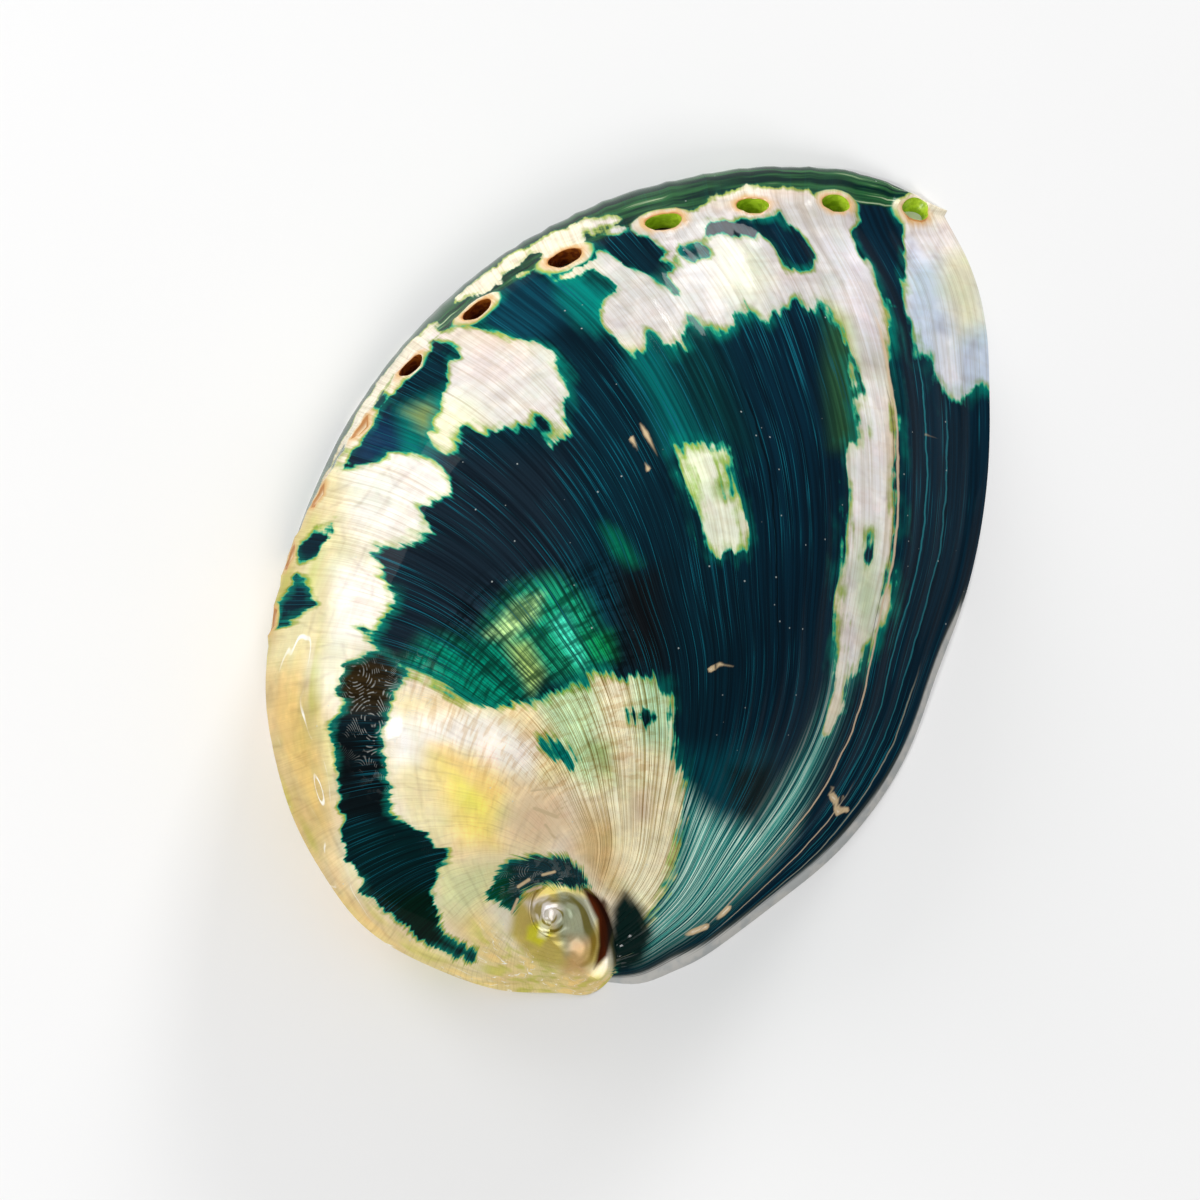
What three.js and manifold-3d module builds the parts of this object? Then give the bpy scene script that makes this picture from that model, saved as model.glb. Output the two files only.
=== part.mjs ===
// An abalone shell, polished, lying on its rim with the dome up.
// Millimetres, +Z up. The shell's length runs along +Y: the spire is at the -Y end,
// the outer lip on the +X side, and the row of pores on the -X side.
//
// The dome is one growth law. The lip is a flat curve, and every earlier growth line is that
// same lip made smaller about the apex and turned back about the coil's leaning axis. The
// surface is then raised or lowered, along a direction that leans to the spire, to the
// height of a full dome.

import * as THREE from 'three';
import { mergeVertices } from 'three/addons/utils/BufferGeometryUtils.js';
import Module from 'manifold-3d';

// ---- Driving dimensions --------------------------------------------------------------------

const APEX_X = 12.6;                                 // tip of the spire
const APEX_Y = -47.9;
const COIL_LEAN = 27;                                // of the coil's axis from upright, degrees
const COIL_LEAN_TOWARDS = 18;                        // heading of that lean, from +X, degrees
const WHORL_LAG = 258;                               // a suture lies on the keel this far back

// Size of the whorl at each angle back from the lip.
const WHORL_SIZES = [
  [0, 1], [30, 0.794], [60, 0.627], [90, 0.481], [120, 0.3], [150, 0.173], [180, 0.119],
  [210, 0.1], [240, 0.0995], [270, 0.097], [300, 0.081], [360, 0.058], [450, 0.0355],
  [540, 0.0229], [630, 0.0147],
];

// The outer lip, on the rim plane, up to the keel at the front. It springs from the point
// beside the spire where the keel of the whorl before comes down to the rim plane.
const LIP = [
  [32.5, -41.3], [37.9, -29.4], [42, -17.1], [43.6, -4.2], [42.1, 8.8],
  [40.1, 21.6], [36, 34], [29.9, 45.6], [22.4, 56.2],
];
const LIP_TIP = [12.9, 65];

// The dome's height is that of a leaning oval cushion, steep on one side and gentle on the other.
const CROWN = 32.5;                      // its height in the middle
const OVAL_CENTRE = [-0.8, 1.5];
const OVAL_HALF_WIDTH = 44.5;
const OVAL_HALF_LENGTH = 64.8;
const OVAL_TURN = 6;                     // of its length from +Y towards +X, degrees
const FULLNESS = 2.4;                    // how flat the middle is
const EDGE_POWER = 0.78;                 // how the height falls to the edge, all round
const EDGE_SWING = 0.37;                 // added on the gentle side, taken off the steep side
const GENTLE_SIDE = 25;                  // heading of the gentle side, from +X, degrees
const RAISE_LEAN = [0.04, -0.24];        // sideways move of a point for each millimetre raised
const SPIRE_SHARE = 0.5;                 // how much of its own height the spire keeps
const SPIRE_REACH = 18;                  // how far round the apex that holds
const LIP_FADE = 9;                      // the dome's height sets in over this angle, degrees

// The foot of the wall below the keel, on the rim plane, at each angle back from the lip.
const FOOT = [
  [6, 2, 64.3], [12, -9.5, 59.4], [24, -25.7, 46.4], [36, -36.3, 30.7], [48, -42.5, 13],
  [60, -44.1, -3.5], [78, -40.5, -25], [96, -30.3, -43.6], [120, -12, -57], [150, 4.8, -59.8],
  [186, 13.6, -57.5], [222, 19.2, -54.3],
];
const STRIP_BULGE = 0.13;        // crown of that wall at the front, as a share of its height
const STRIP_BULGE_ENDS_AT = 70;  // where that crown has died away, degrees back from the lip

const WALL = 2;                  // thickness of the wall
const ROOF = 1.8;                // thickness of the dome, straight down
const LEDGE_WIDTH = 7;           // widest part of the flat inner ledge
const LEDGE_THICKNESS = 1.8;
const LEDGE_START = 12;          // ends of the ledge, degrees back from the lip
const LEDGE_END = 246;

const PORES_AT = [2.2, 8.2, 14.8, 22.3, 31.5, 41, 49.5];   // open pores, degrees back
const PORE_LENGTH = 4.9;         // of the first pore, along the keel
const PORE_WIDTH = 3.3;
const PORE_DEPTH = 14;           // of the cut, through the wall
const PORE_SIDES = 14;

// ---- Fineness of the facets ----------------------------------------------------------------

const ROWS_PER_LAG = 43;
const DOME_ROWS = 98;            // the whole spire
const CORE_ROWS = 58;            // the hollow stops short of the tip of the spire
const DOME_COLUMNS = 18;
const STRIP_COLUMNS = 4;
const SEAM_SHARPNESS = 4;        // how fast the dome leaves the whorl that it is built on

const ROW_ANGLE = WHORL_LAG / ROWS_PER_LAG;

// ---- Small helpers -------------------------------------------------------------------------

/** Smooth curve through rows of [x, value, value...], read at x. */
function smoothTable(rows, x, column = 1) {
  const last = rows.length - 1;
  const slope = (i) => {
    const a = Math.max(i - 1, 0);
    const b = Math.min(i + 1, last);
    return (rows[b][column] - rows[a][column]) / (rows[b][0] - rows[a][0]);
  };
  let i = 0;
  while (i < last - 1 && x > rows[i + 1][0]) i += 1;
  const span = rows[i + 1][0] - rows[i][0];
  const u = THREE.MathUtils.clamp((x - rows[i][0]) / span, 0, 1);
  const rise = rows[i + 1][column] - rows[i][column];
  const bend = (1 - u) * (slope(i) * span - rise) - u * (slope(i + 1) * span - rise);
  return rows[i][column] + rise * u + u * (1 - u) * bend;
}

const LOG_SIZES = WHORL_SIZES.map(([angle, size]) => [angle, Math.log(size)]);

/** Size of the whorl at an angle back from the lip. */
function whorlSize(angle) {
  return Math.exp(smoothTable(LOG_SIZES, angle));
}

/** The coil's axis, as a unit vector. */
function coilAxis() {
  const lean = THREE.MathUtils.degToRad(COIL_LEAN);
  const heading = THREE.MathUtils.degToRad(COIL_LEAN_TOWARDS);
  const out = Math.sin(lean);
  return new THREE.Vector3(out * Math.cos(heading), out * Math.sin(heading), Math.cos(lean));
}

// ---- The outer surface ---------------------------------------------------------------------

const AXIS = coilAxis();
const TIP = new THREE.Vector3(...LIP_TIP, 0);
const APEX = new THREE.Vector3(APEX_X, APEX_Y, apexHeight());
const APEX_FOOT = loweredPoint(APEX);
const ROOT = keelPoint(WHORL_LAG);
const FOOT_ROWS = [[0, TIP.x, TIP.y], ...FOOT, [WHORL_LAG, ROOT.x, ROOT.y]];
const LIP_POINTS = spacedLip();

/** Height of the apex at which the keel meets the rim plane exactly one lag back. */
function apexHeight() {
  const arm = new THREE.Vector3(LIP_TIP[0] - APEX_X, LIP_TIP[1] - APEX_Y, 0);
  const turn = THREE.MathUtils.degToRad(WHORL_LAG);
  const size = whorlSize(WHORL_LAG);
  const sideways = arm.applyAxisAngle(AXIS, turn).z;
  const upright = new THREE.Vector3(0, 0, 1).applyAxisAngle(AXIS, turn).z;
  return -size * sideways / (1 - size * upright);
}

/** A point of the rim plane carried back to an angle, by the growth law alone. */
function grownPoint(lipPoint, angle) {
  const turn = THREE.MathUtils.degToRad(angle);
  return lipPoint.clone().sub(APEX).applyAxisAngle(AXIS, turn)
    .multiplyScalar(whorlSize(angle)).add(APEX);
}

/** Where a point lands when it is let down to the rim plane along the raising direction. */
function loweredPoint(point) {
  return new THREE.Vector2(
    point.x - RAISE_LEAN[0] * point.z,
    point.y - RAISE_LEAN[1] * point.z,
  );
}

/** Height of the full dome over a spot of the rim plane. */
function domeHeight(spot) {
  const local = spot.clone().sub(new THREE.Vector2(...OVAL_CENTRE));
  local.rotateAround(new THREE.Vector2(), THREE.MathUtils.degToRad(OVAL_TURN));
  local.x /= OVAL_HALF_WIDTH;
  local.y /= OVAL_HALF_LENGTH;
  const heading = local.angle() - THREE.MathUtils.degToRad(GENTLE_SIDE);
  const power = EDGE_POWER + EDGE_SWING * Math.cos(heading);
  return CROWN * Math.max(1 - local.length() ** FULLNESS, 0) ** power;
}

/** A point of the growth law raised to the dome, less so round the spire and at the lip. */
function domedPoint(point, angle) {
  const spot = loweredPoint(point);
  const nearSpire = SPIRE_SHARE * Math.exp(-((spot.distanceTo(APEX_FOOT) / SPIRE_REACH) ** 2));
  const wanted = THREE.MathUtils.lerp(domeHeight(spot), point.z, nearSpire);
  const height = THREE.MathUtils.lerp(point.z, wanted, 1 - Math.exp(-angle / LIP_FADE));
  return new THREE.Vector3(
    spot.x + RAISE_LEAN[0] * height,
    spot.y + RAISE_LEAN[1] * height,
    Math.max(height, 0),
  );
}

/** The keel: the ridge that carries the pores. It meets the rim plane at both its ends. */
function keelPoint(angle) {
  const point = domedPoint(grownPoint(TIP, angle), angle);
  return angle === WHORL_LAG ? point.setZ(0) : point;
}

/** The lip's points, evenly spaced, from its root to the keel. */
function spacedLip() {
  const flat = [[ROOT.x, ROOT.y], ...LIP, LIP_TIP].map(([x, y]) => new THREE.Vector2(x, y));
  return new THREE.SplineCurve(flat).getSpacedPoints(DOME_COLUMNS)
    .map((p) => new THREE.Vector3(p.x, p.y, 0));
}

/** One growth line, from the suture to the keel. */
function growthLine(angle) {
  const line = LIP_POINTS.map((lipPoint) => domedPoint(grownPoint(lipPoint, angle), angle));
  line[DOME_COLUMNS] = keelPoint(angle);
  const seam = keelPoint(angle + WHORL_LAG).sub(line[0]);
  line.forEach((point, column) => {
    point.addScaledVector(seam, (1 - column / DOME_COLUMNS) ** SEAM_SHARPNESS);
    point.z = angle === 0 ? 0 : Math.max(point.z, 0);
  });
  return line;
}

/** A point at the foot of the wall below the keel. */
function footPoint(angle) {
  return new THREE.Vector3(smoothTable(FOOT_ROWS, angle, 1), smoothTable(FOOT_ROWS, angle, 2), 0);
}

/** One line down the wall, from the keel to its foot, crowned outwards near the front. */
function stripLine(angle) {
  const top = keelPoint(angle);
  const foot = footPoint(angle);
  const ahead = footPoint(Math.max(angle - 1, 0));
  const behind = footPoint(Math.min(angle + 1, WHORL_LAG));
  const outward = ahead.sub(behind).normalize().cross(new THREE.Vector3(0, 0, 1)).negate();
  outward.z = 0.35;
  const fade = THREE.MathUtils.smoothstep(STRIP_BULGE_ENDS_AT - angle, 0, STRIP_BULGE_ENDS_AT);
  const crown = STRIP_BULGE * fade * top.distanceTo(foot);
  const points = [];
  for (let column = 0; column <= STRIP_COLUMNS; column += 1) {
    const w = column / STRIP_COLUMNS;
    points.push(top.clone().lerp(foot, w).addScaledVector(outward, crown * 4 * w * (1 - w)));
  }
  return points;
}

/** Two triangles for each cell between neighbouring lines of points. */
function addSheet(soup, lines, flip) {
  for (let i = 0; i + 1 < lines.length; i += 1) {
    for (let j = 0; j + 1 < lines[i].length; j += 1) {
      const a = lines[i][j];
      const b = lines[i][j + 1];
      const c = lines[i + 1][j + 1];
      const d = lines[i + 1][j];
      if (flip) soup.push(a, c, b, a, d, c);
      else soup.push(a, b, c, a, c, d);
    }
  }
}

/** Closes the tip of the spire with a fan round the apex. */
function addSpireTip(soup, lines) {
  const rows = lines.length - 1;
  const loop = [];
  for (let i = rows - ROWS_PER_LAG; i <= rows; i += 1) loop.push(lines[i][0]);
  for (let j = 1; j <= DOME_COLUMNS; j += 1) loop.push(lines[rows][j]);
  const centre = loop.reduce((sum, p) => sum.add(p), new THREE.Vector3())
    .divideScalar(loop.length);
  for (let i = 0; i < loop.length; i += 1) {
    soup.push(centre, loop[i], loop[(i + 1) % loop.length]);
  }
}

/** The flat face that closes the solid on the rim plane. */
function addBase(soup, lip, foot) {
  const outline = [...lip, ...foot.slice(1, -1)];
  const flat = outline.map((p) => new THREE.Vector2(p.x, p.y));
  for (const [a, b, c] of THREE.ShapeUtils.triangulateShape(flat, [])) {
    soup.push(outline[a], outline[c], outline[b]);
  }
}

/** The whole outside of the shell as a closed solid, with a flat base. */
function outerGeometry(rows) {
  const lines = [];
  for (let i = 0; i <= rows; i += 1) lines.push(growthLine(i * ROW_ANGLE));
  const strip = [];
  for (let i = 0; i <= ROWS_PER_LAG; i += 1) strip.push(stripLine(i * ROW_ANGLE));
  const soup = [];
  addSheet(soup, lines, false);
  addSheet(soup, strip, false);
  addSpireTip(soup, lines);
  addBase(soup, lines[0], strip.map((line) => line[STRIP_COLUMNS]));
  return new THREE.BufferGeometry().setFromPoints(soup);
}

// ---- Cutting and joining -------------------------------------------------------------------

const wasm = await Module();
wasm.setup();

/** A geometry as a solid that can be cut: shared points merged, flat-out triangles dropped. */
function solidOf(geometry) {
  geometry.deleteAttribute('normal');
  geometry.deleteAttribute('uv');
  const merged = mergeVertices(geometry, 1e-3);
  const index = merged.index.array;
  const triangles = [];
  for (let i = 0; i < index.length; i += 3) {
    const [a, b, c] = [index[i], index[i + 1], index[i + 2]];
    if (a !== b && b !== c && c !== a) triangles.push(a, b, c);
  }
  return new wasm.Manifold(new wasm.Mesh({
    numProp: 3,
    vertProperties: new Float32Array(merged.attributes.position.array),
    triVerts: new Uint32Array(triangles),
  }));
}

/** A solid as a three.js geometry. */
function geometryOf(solid) {
  const mesh = solid.getMesh();
  const geometry = new THREE.BufferGeometry();
  geometry.setAttribute('position', new THREE.BufferAttribute(mesh.vertProperties, 3));
  geometry.setIndex(new THREE.BufferAttribute(mesh.triVerts, 1));
  geometry.computeVertexNormals();
  return geometry;
}

/** The hollow: the outside drawn in by the wall, and let down by the roof. */
function hollowSolid() {
  const geometry = outerGeometry(CORE_ROWS);
  geometry.computeBoundingBox();
  const size = geometry.boundingBox.getSize(new THREE.Vector3());
  geometry.scale(1 - 2 * WALL / size.x, 1 - 2 * WALL / size.y, 1);
  geometry.translate(0, 0, -ROOF);
  return solidOf(geometry);
}

/** The flat pearly ledge inside the wall below the keel. */
function ledgeSolid() {
  const outer = [];
  const inner = [];
  for (let angle = LEDGE_START; angle <= LEDGE_END; angle += ROW_ANGLE) {
    const share = (angle - LEDGE_START) / (LEDGE_END - LEDGE_START);
    const foot = footPoint(angle);
    const inward = foot.clone().negate().normalize();
    const width = WALL + (LEDGE_WIDTH - WALL) * Math.sin(Math.PI * share) ** 0.7;
    const edge = foot.clone().addScaledVector(inward, width);
    outer.push(new THREE.Vector2(foot.x, foot.y));
    inner.unshift(new THREE.Vector2(edge.x, edge.y));
  }
  const shape = new THREE.Shape([...outer, ...inner]);
  return solidOf(new THREE.ExtrudeGeometry(shape, {
    depth: LEDGE_THICKNESS, bevelEnabled: false,
  }));
}

/** One slanted oval cutter for each open pore, square to the shell at the keel. */
function poreCutters() {
  return PORES_AT.map((angle) => {
    const centre = keelPoint(angle);
    const along = keelPoint(angle - 0.5).sub(keelPoint(angle + 0.5)).normalize();
    const across = growthLine(angle)[DOME_COLUMNS - 1].sub(stripLine(angle)[1]).normalize();
    const out = along.clone().cross(across).normalize();
    const side = out.clone().cross(along);
    const size = whorlSize(angle);
    const cutter = new THREE.CylinderGeometry(0.5, 0.5, PORE_DEPTH, PORE_SIDES);
    cutter.scale(PORE_WIDTH * size, 1, PORE_LENGTH * size);
    cutter.applyMatrix4(new THREE.Matrix4().makeBasis(side, out, along).setPosition(centre));
    return solidOf(cutter);
  });
}

/** The shell as one solid, centred over the origin. */
function shellGeometry() {
  const outside = solidOf(outerGeometry(DOME_ROWS));
  const wall = outside.subtract(hollowSolid());
  const withLedge = wall.add(outside.intersect(ledgeSolid()));
  const solid = poreCutters().reduce((rest, cutter) => rest.subtract(cutter), withLedge);
  const geometry = geometryOf(solid);
  geometry.computeBoundingBox();
  const middle = geometry.boundingBox.getCenter(new THREE.Vector3());
  return geometry.translate(-middle.x, -middle.y, 0);
}

// ---- The part ------------------------------------------------------------------------------

const part = new THREE.Group();
const shell = new THREE.Mesh(
  shellGeometry(),
  new THREE.MeshStandardMaterial({ color: 0x12303a, roughness: 0.12, metalness: 0 }),
);
shell.name = 'abalone_shell';
part.add(shell);

export default part;
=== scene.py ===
import logging
import math
from dataclasses import dataclass, field
from enum import Enum

import bpy
import numpy as np
from mathutils import Matrix, Vector


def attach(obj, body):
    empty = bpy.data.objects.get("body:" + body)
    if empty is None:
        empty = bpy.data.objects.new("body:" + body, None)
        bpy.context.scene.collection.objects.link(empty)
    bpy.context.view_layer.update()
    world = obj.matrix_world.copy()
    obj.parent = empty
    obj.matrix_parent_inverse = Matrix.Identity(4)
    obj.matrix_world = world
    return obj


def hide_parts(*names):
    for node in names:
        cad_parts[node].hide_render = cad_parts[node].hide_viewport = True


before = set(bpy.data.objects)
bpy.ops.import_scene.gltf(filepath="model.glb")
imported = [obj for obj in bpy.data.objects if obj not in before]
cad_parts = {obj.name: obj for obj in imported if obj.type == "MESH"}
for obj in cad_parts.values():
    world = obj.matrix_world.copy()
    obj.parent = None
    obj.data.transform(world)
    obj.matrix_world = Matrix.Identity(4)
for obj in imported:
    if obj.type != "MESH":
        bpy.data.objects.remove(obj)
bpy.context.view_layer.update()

LOG = logging.getLogger("abalone")
SHELL_NODE = "abalone_shell"
MILLIMETRE = 0.001
WALL_SHARE = 0.2      # width of the wall in the growth map, past the keel at 1
DEGREES_PER_AGE = 100     # of one unit of age in the growth map
LIP_PER_DEGREE = 1.31     # growth at the lip, in millimetres
PAST_KEEL = 1.0001        # growth map places beyond this are on the wall


# ---- Small mathematics -------------------------------------------------------------------


def smooth_table(rows: list, at: np.ndarray, column: int = 1) -> np.ndarray:
    """Reads a smooth curve through rows of numbers.

    Args:
        rows: Rows of (x, value, value...), with x rising.
        at: Where to read it.
        column: Which value of a row to read.

    Returns:
        The curve's value at each place.
    """
    table = np.array(rows, float)
    knots, values = table[:, 0], table[:, column]
    ahead = np.minimum(np.arange(len(knots)) + 1, len(knots) - 1)
    behind = np.maximum(np.arange(len(knots)) - 1, 0)
    slopes = (values[ahead] - values[behind]) / (knots[ahead] - knots[behind])
    i = np.clip(np.searchsorted(knots, at, side="left") - 1, 0, len(knots) - 2)
    span = knots[i + 1] - knots[i]
    u = np.clip((at - knots[i]) / span, 0, 1)
    rise = values[i + 1] - values[i]
    bend = (1 - u) * (slopes[i] * span - rise) - u * (slopes[i + 1] * span - rise)
    return values[i] + rise * u + u * (1 - u) * bend


def fade(values: np.ndarray, low: float, high: float) -> np.ndarray:
    """Rises smoothly from 0 at low to 1 at high; high may be the smaller.

    Args:
        values: What to judge.
        low: Where it is 0.
        high: Where it is 1.

    Returns:
        A share from 0 to 1 for each value.
    """
    share = np.clip((values - low) / (high - low), 0, 1)
    return share * share * (3 - 2 * share)


def unit(vectors: np.ndarray) -> np.ndarray:
    """Scales vectors to length one.

    Args:
        vectors: Vectors along the last axis.

    Returns:
        The unit vectors.
    """
    return vectors / np.maximum(np.linalg.norm(vectors, axis=-1, keepdims=True), 1e-12)


# ---- The growth law, in millimetres ------------------------------------------------------


@dataclass(frozen=True)
class GrowthLaw:
    """The law that the CAD solid follows: one lip, made smaller and turned back."""

    apex_spot: tuple = (12.6, -47.9)
    lean: float = 27.0
    lean_towards: float = 18.0
    lag: float = 258.0
    whorl_sizes: tuple = (
        (0, 1), (30, 0.794), (60, 0.627), (90, 0.481), (120, 0.3), (150, 0.173),
        (180, 0.119), (210, 0.1), (240, 0.0995), (270, 0.097), (300, 0.081), (360, 0.058),
        (450, 0.0355), (540, 0.0229), (630, 0.0147),
    )
    lip: tuple = (
        (32.5, -41.3), (37.9, -29.4), (42, -17.1), (43.6, -4.2), (42.1, 8.8), (40.1, 21.6),
        (36, 34), (29.9, 45.6), (22.4, 56.2),
    )
    lip_tip: tuple = (12.9, 65)
    foot: tuple = (
        (6, 2, 64.3), (12, -9.5, 59.4), (24, -25.7, 46.4), (36, -36.3, 30.7), (48, -42.5, 13),
        (60, -44.1, -3.5), (78, -40.5, -25), (96, -30.3, -43.6), (120, -12, -57),
        (150, 4.8, -59.8), (186, 13.6, -57.5), (222, 19.2, -54.3),
    )
    crown: float = 32.5
    oval_centre: tuple = (-0.8, 1.5)
    oval_half: tuple = (44.5, 64.8)
    oval_turn: float = 6.0
    fullness: float = 2.4
    edge_power: float = 0.78
    edge_swing: float = 0.37
    gentle_side: float = 25.0
    raise_lean: tuple = (0.04, -0.24)
    spire_share: float = 0.5
    spire_reach: float = 18.0
    lip_fade: float = 9.0
    strip_bulge: float = 0.13
    strip_bulge_ends_at: float = 70.0
    seam_sharpness: float = 4.0
    wall_lean: float = 0.35

    def axis(self) -> np.ndarray:
        """The coil's axis.

        Returns:
            A unit vector.
        """
        lean, heading = math.radians(self.lean), math.radians(self.lean_towards)
        out = math.sin(lean)
        return np.array([out * math.cos(heading), out * math.sin(heading), math.cos(lean)])

    def size(self, angle: np.ndarray) -> np.ndarray:
        """Size of the whorl at an angle back from the lip."""
        rows = [(at, math.log(size)) for at, size in self.whorl_sizes]
        return np.exp(smooth_table(rows, angle))

    def turned(self, vectors: np.ndarray, angle: np.ndarray) -> np.ndarray:
        """Turns vectors about the coil's axis.

        Args:
            vectors: Vectors along the last axis.
            angle: Degrees, one for each vector.

        Returns:
            The turned vectors.
        """
        axis = self.axis()
        turn = np.radians(angle)[..., None]
        along = (vectors @ axis)[..., None] * axis
        return vectors * np.cos(turn) + np.cross(axis, vectors) * np.sin(turn) + along * (
            1 - np.cos(turn)
        )

    def apex(self) -> np.ndarray:
        """The apex, at the height that brings the keel to the rim plane one lag back.

        Returns:
            Its place.
        """
        arm = np.array([self.lip_tip[0] - self.apex_spot[0], self.lip_tip[1] - self.apex_spot[1], 0])
        lag = np.array(self.lag)
        size = float(self.size(lag))
        sideways = self.turned(arm, lag)[2]
        upright = self.turned(np.array([0.0, 0.0, 1.0]), lag)[2]
        return np.array([*self.apex_spot, -size * sideways / (1 - size * upright)])

    def grown(self, lip_points: np.ndarray, angle: np.ndarray) -> np.ndarray:
        """Carries points of the lip back by the growth law alone.

        Args:
            lip_points: Points on the rim plane.
            angle: Degrees back from the lip, one for each point.

        Returns:
            The carried points.
        """
        apex = self.apex()
        return apex + self.turned(lip_points - apex, angle) * self.size(angle)[..., None]

    def spot(self, points: np.ndarray) -> np.ndarray:
        """Where points land when they are let down to the rim plane.

        Args:
            points: Points of the shell.

        Returns:
            Their places on the rim plane.
        """
        return points[..., :2] - points[..., 2:3] * np.array(self.raise_lean)

    def dome_height(self, spot: np.ndarray) -> np.ndarray:
        """Height of the full dome over spots of the rim plane.

        Args:
            spot: Places on the rim plane.

        Returns:
            A height for each.
        """
        turn = math.radians(self.oval_turn)
        off = spot - np.array(self.oval_centre)
        x = (off[..., 0] * math.cos(turn) - off[..., 1] * math.sin(turn)) / self.oval_half[0]
        y = (off[..., 0] * math.sin(turn) + off[..., 1] * math.cos(turn)) / self.oval_half[1]
        heading = np.arctan2(y, x) - math.radians(self.gentle_side)
        power = self.edge_power + self.edge_swing * np.cos(heading)
        inside = np.maximum(1 - np.hypot(x, y) ** self.fullness, 0)
        return self.crown * inside ** power

    def domed(self, points: np.ndarray, angle: np.ndarray) -> np.ndarray:
        """Raises points of the growth law to the dome, less so round the spire and at the lip.

        Args:
            points: Points of the growth law.
            angle: Degrees back from the lip, one for each point.

        Returns:
            The raised points.
        """
        spot = self.spot(points)
        away = np.linalg.norm(spot - self.spot(self.apex()), axis=-1)
        near_spire = self.spire_share * np.exp(-((away / self.spire_reach) ** 2))
        dome = self.dome_height(spot)
        wanted = dome + (points[..., 2] - dome) * near_spire
        set_in = 1 - np.exp(-angle / self.lip_fade)
        height = points[..., 2] + (wanted - points[..., 2]) * set_in
        plan = spot + height[..., None] * np.array(self.raise_lean)
        return np.concatenate([plan, np.maximum(height, 0)[..., None]], axis=-1)

    def keel(self, angle: np.ndarray) -> np.ndarray:
        """The ridge that carries the pores, at angles back from the lip.

        Args:
            angle: Degrees back from the lip.

        Returns:
            A point for each angle.
        """
        angle = np.asarray(angle, float)
        tip = np.broadcast_to(np.array([*self.lip_tip, 0.0]), angle.shape + (3,))
        points = self.domed(self.grown(tip, angle), angle)
        points[..., 2] = np.where(np.isclose(angle, self.lag), 0, points[..., 2])
        return points

    def lip_points(self, along: np.ndarray) -> np.ndarray:
        """The lip from its root beside the spire to the keel.

        Args:
            along: Shares of the lip's length.

        Returns:
            Points on the rim plane.
        """
        root = self.keel(self.lag)[:2]
        marks = np.array([root, *self.lip, self.lip_tip])
        padded = np.vstack([marks[:1], marks, marks[-1:]])
        fine = np.linspace(0, len(marks) - 1, 3000)
        i = np.minimum(fine.astype(int), len(marks) - 2)
        t = (fine - i)[:, None]
        p0, p1, p2, p3 = (padded[i + k] for k in range(4))
        v0, v1 = (p2 - p0) / 2, (p3 - p1) / 2
        curve = (
            (2 * p1 - 2 * p2 + v0 + v1) * t**3 + (3 * p2 - 3 * p1 - 2 * v0 - v1) * t**2
            + v0 * t + p1
        )
        run = np.concatenate([[0], np.cumsum(np.linalg.norm(np.diff(curve, axis=0), axis=1))])
        wanted = along * run[-1]
        plan = np.stack([np.interp(wanted, run, curve[:, k]) for k in range(2)], axis=-1)
        return np.concatenate([plan, np.zeros(plan.shape[:-1] + (1,))], axis=-1)

    def lines(self, angles: np.ndarray, along: np.ndarray) -> np.ndarray:
        """Growth lines, from suture to keel.

        Args:
            angles: Degrees back from the lip, one for each line.
            along: Shares of the way from suture to keel.

        Returns:
            Points, line by line.
        """
        lip = self.lip_points(along)
        turn = np.repeat(angles[:, None], len(along), axis=1)
        grid = self.domed(self.grown(np.broadcast_to(lip, turn.shape + (3,)), turn), turn)
        grid[:, -1] = self.keel(angles)
        seam = self.keel(angles + self.lag) - grid[:, 0]
        grid += seam[:, None] * ((1 - along) ** self.seam_sharpness)[None, :, None]
        grid[..., 2] = np.maximum(grid[..., 2], 0)
        grid[0, :, 2] = 0
        return grid

    def foot_points(self, angles: np.ndarray) -> np.ndarray:
        """The foot of the wall below the keel, at angles back from the lip.

        Args:
            angles: Degrees back from the lip.

        Returns:
            A point on the rim plane for each angle.
        """
        root = self.keel(self.lag)
        rows = [(0, *self.lip_tip), *self.foot, (self.lag, root[0], root[1])]
        x, y = smooth_table(rows, angles, 1), smooth_table(rows, angles, 2)
        return np.stack([x, y, np.zeros_like(x)], axis=-1)

    def wall(self, angles: np.ndarray, down: np.ndarray) -> np.ndarray:
        """Lines down the wall, from the keel to its foot.

        Args:
            angles: Degrees back from the lip, one for each line.
            down: Shares of the way from keel to foot.

        Returns:
            Points, line by line.
        """
        top, foot = self.keel(angles), self.foot_points(angles)
        ahead = self.foot_points(np.maximum(angles - 1, 0))
        behind = self.foot_points(np.minimum(angles + 1, self.lag))
        outward = -np.cross(unit(ahead - behind), np.array([0.0, 0.0, 1.0]))
        outward[:, 2] = self.wall_lean
        bulge = self.strip_bulge * fade(angles, self.strip_bulge_ends_at, 0)
        crown = bulge * np.linalg.norm(top - foot, axis=1)
        share = down[None, :, None]
        line = top[:, None] * (1 - share) + foot[:, None] * share
        return line + (outward * crown[:, None])[:, None] * 4 * share * (1 - share)


@dataclass(frozen=True)
class View:
    """The direction the shell is looked at from, and the two directions across it."""

    look: tuple = (-2.27, -6.01, 0.0)
    towards: tuple = (0.0391, -0.2342, 0.9714)
    across: tuple = (0.8773, 0.4735, 0.0789)
    upward: tuple = (-0.4784, 0.8491, 0.2240)

    def flat(self, places: np.ndarray) -> np.ndarray:
        """Places across and up, as seen.

        Args:
            places: Places in millimetres.

        Returns:
            Two numbers for each.
        """
        return (places - np.array(self.look)) @ np.array([self.across, self.upward]).T

    def on_rim_plane(self, shifts: np.ndarray) -> np.ndarray:
        """Turns shifts across and up into shifts along the rim plane.

        Args:
            shifts: Shifts across and up.

        Returns:
            Shifts along x and y.
        """
        axes = np.array([self.across[:2], self.upward[:2]])
        return shifts @ np.linalg.inv(axes).T


VIEW = View()


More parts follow.
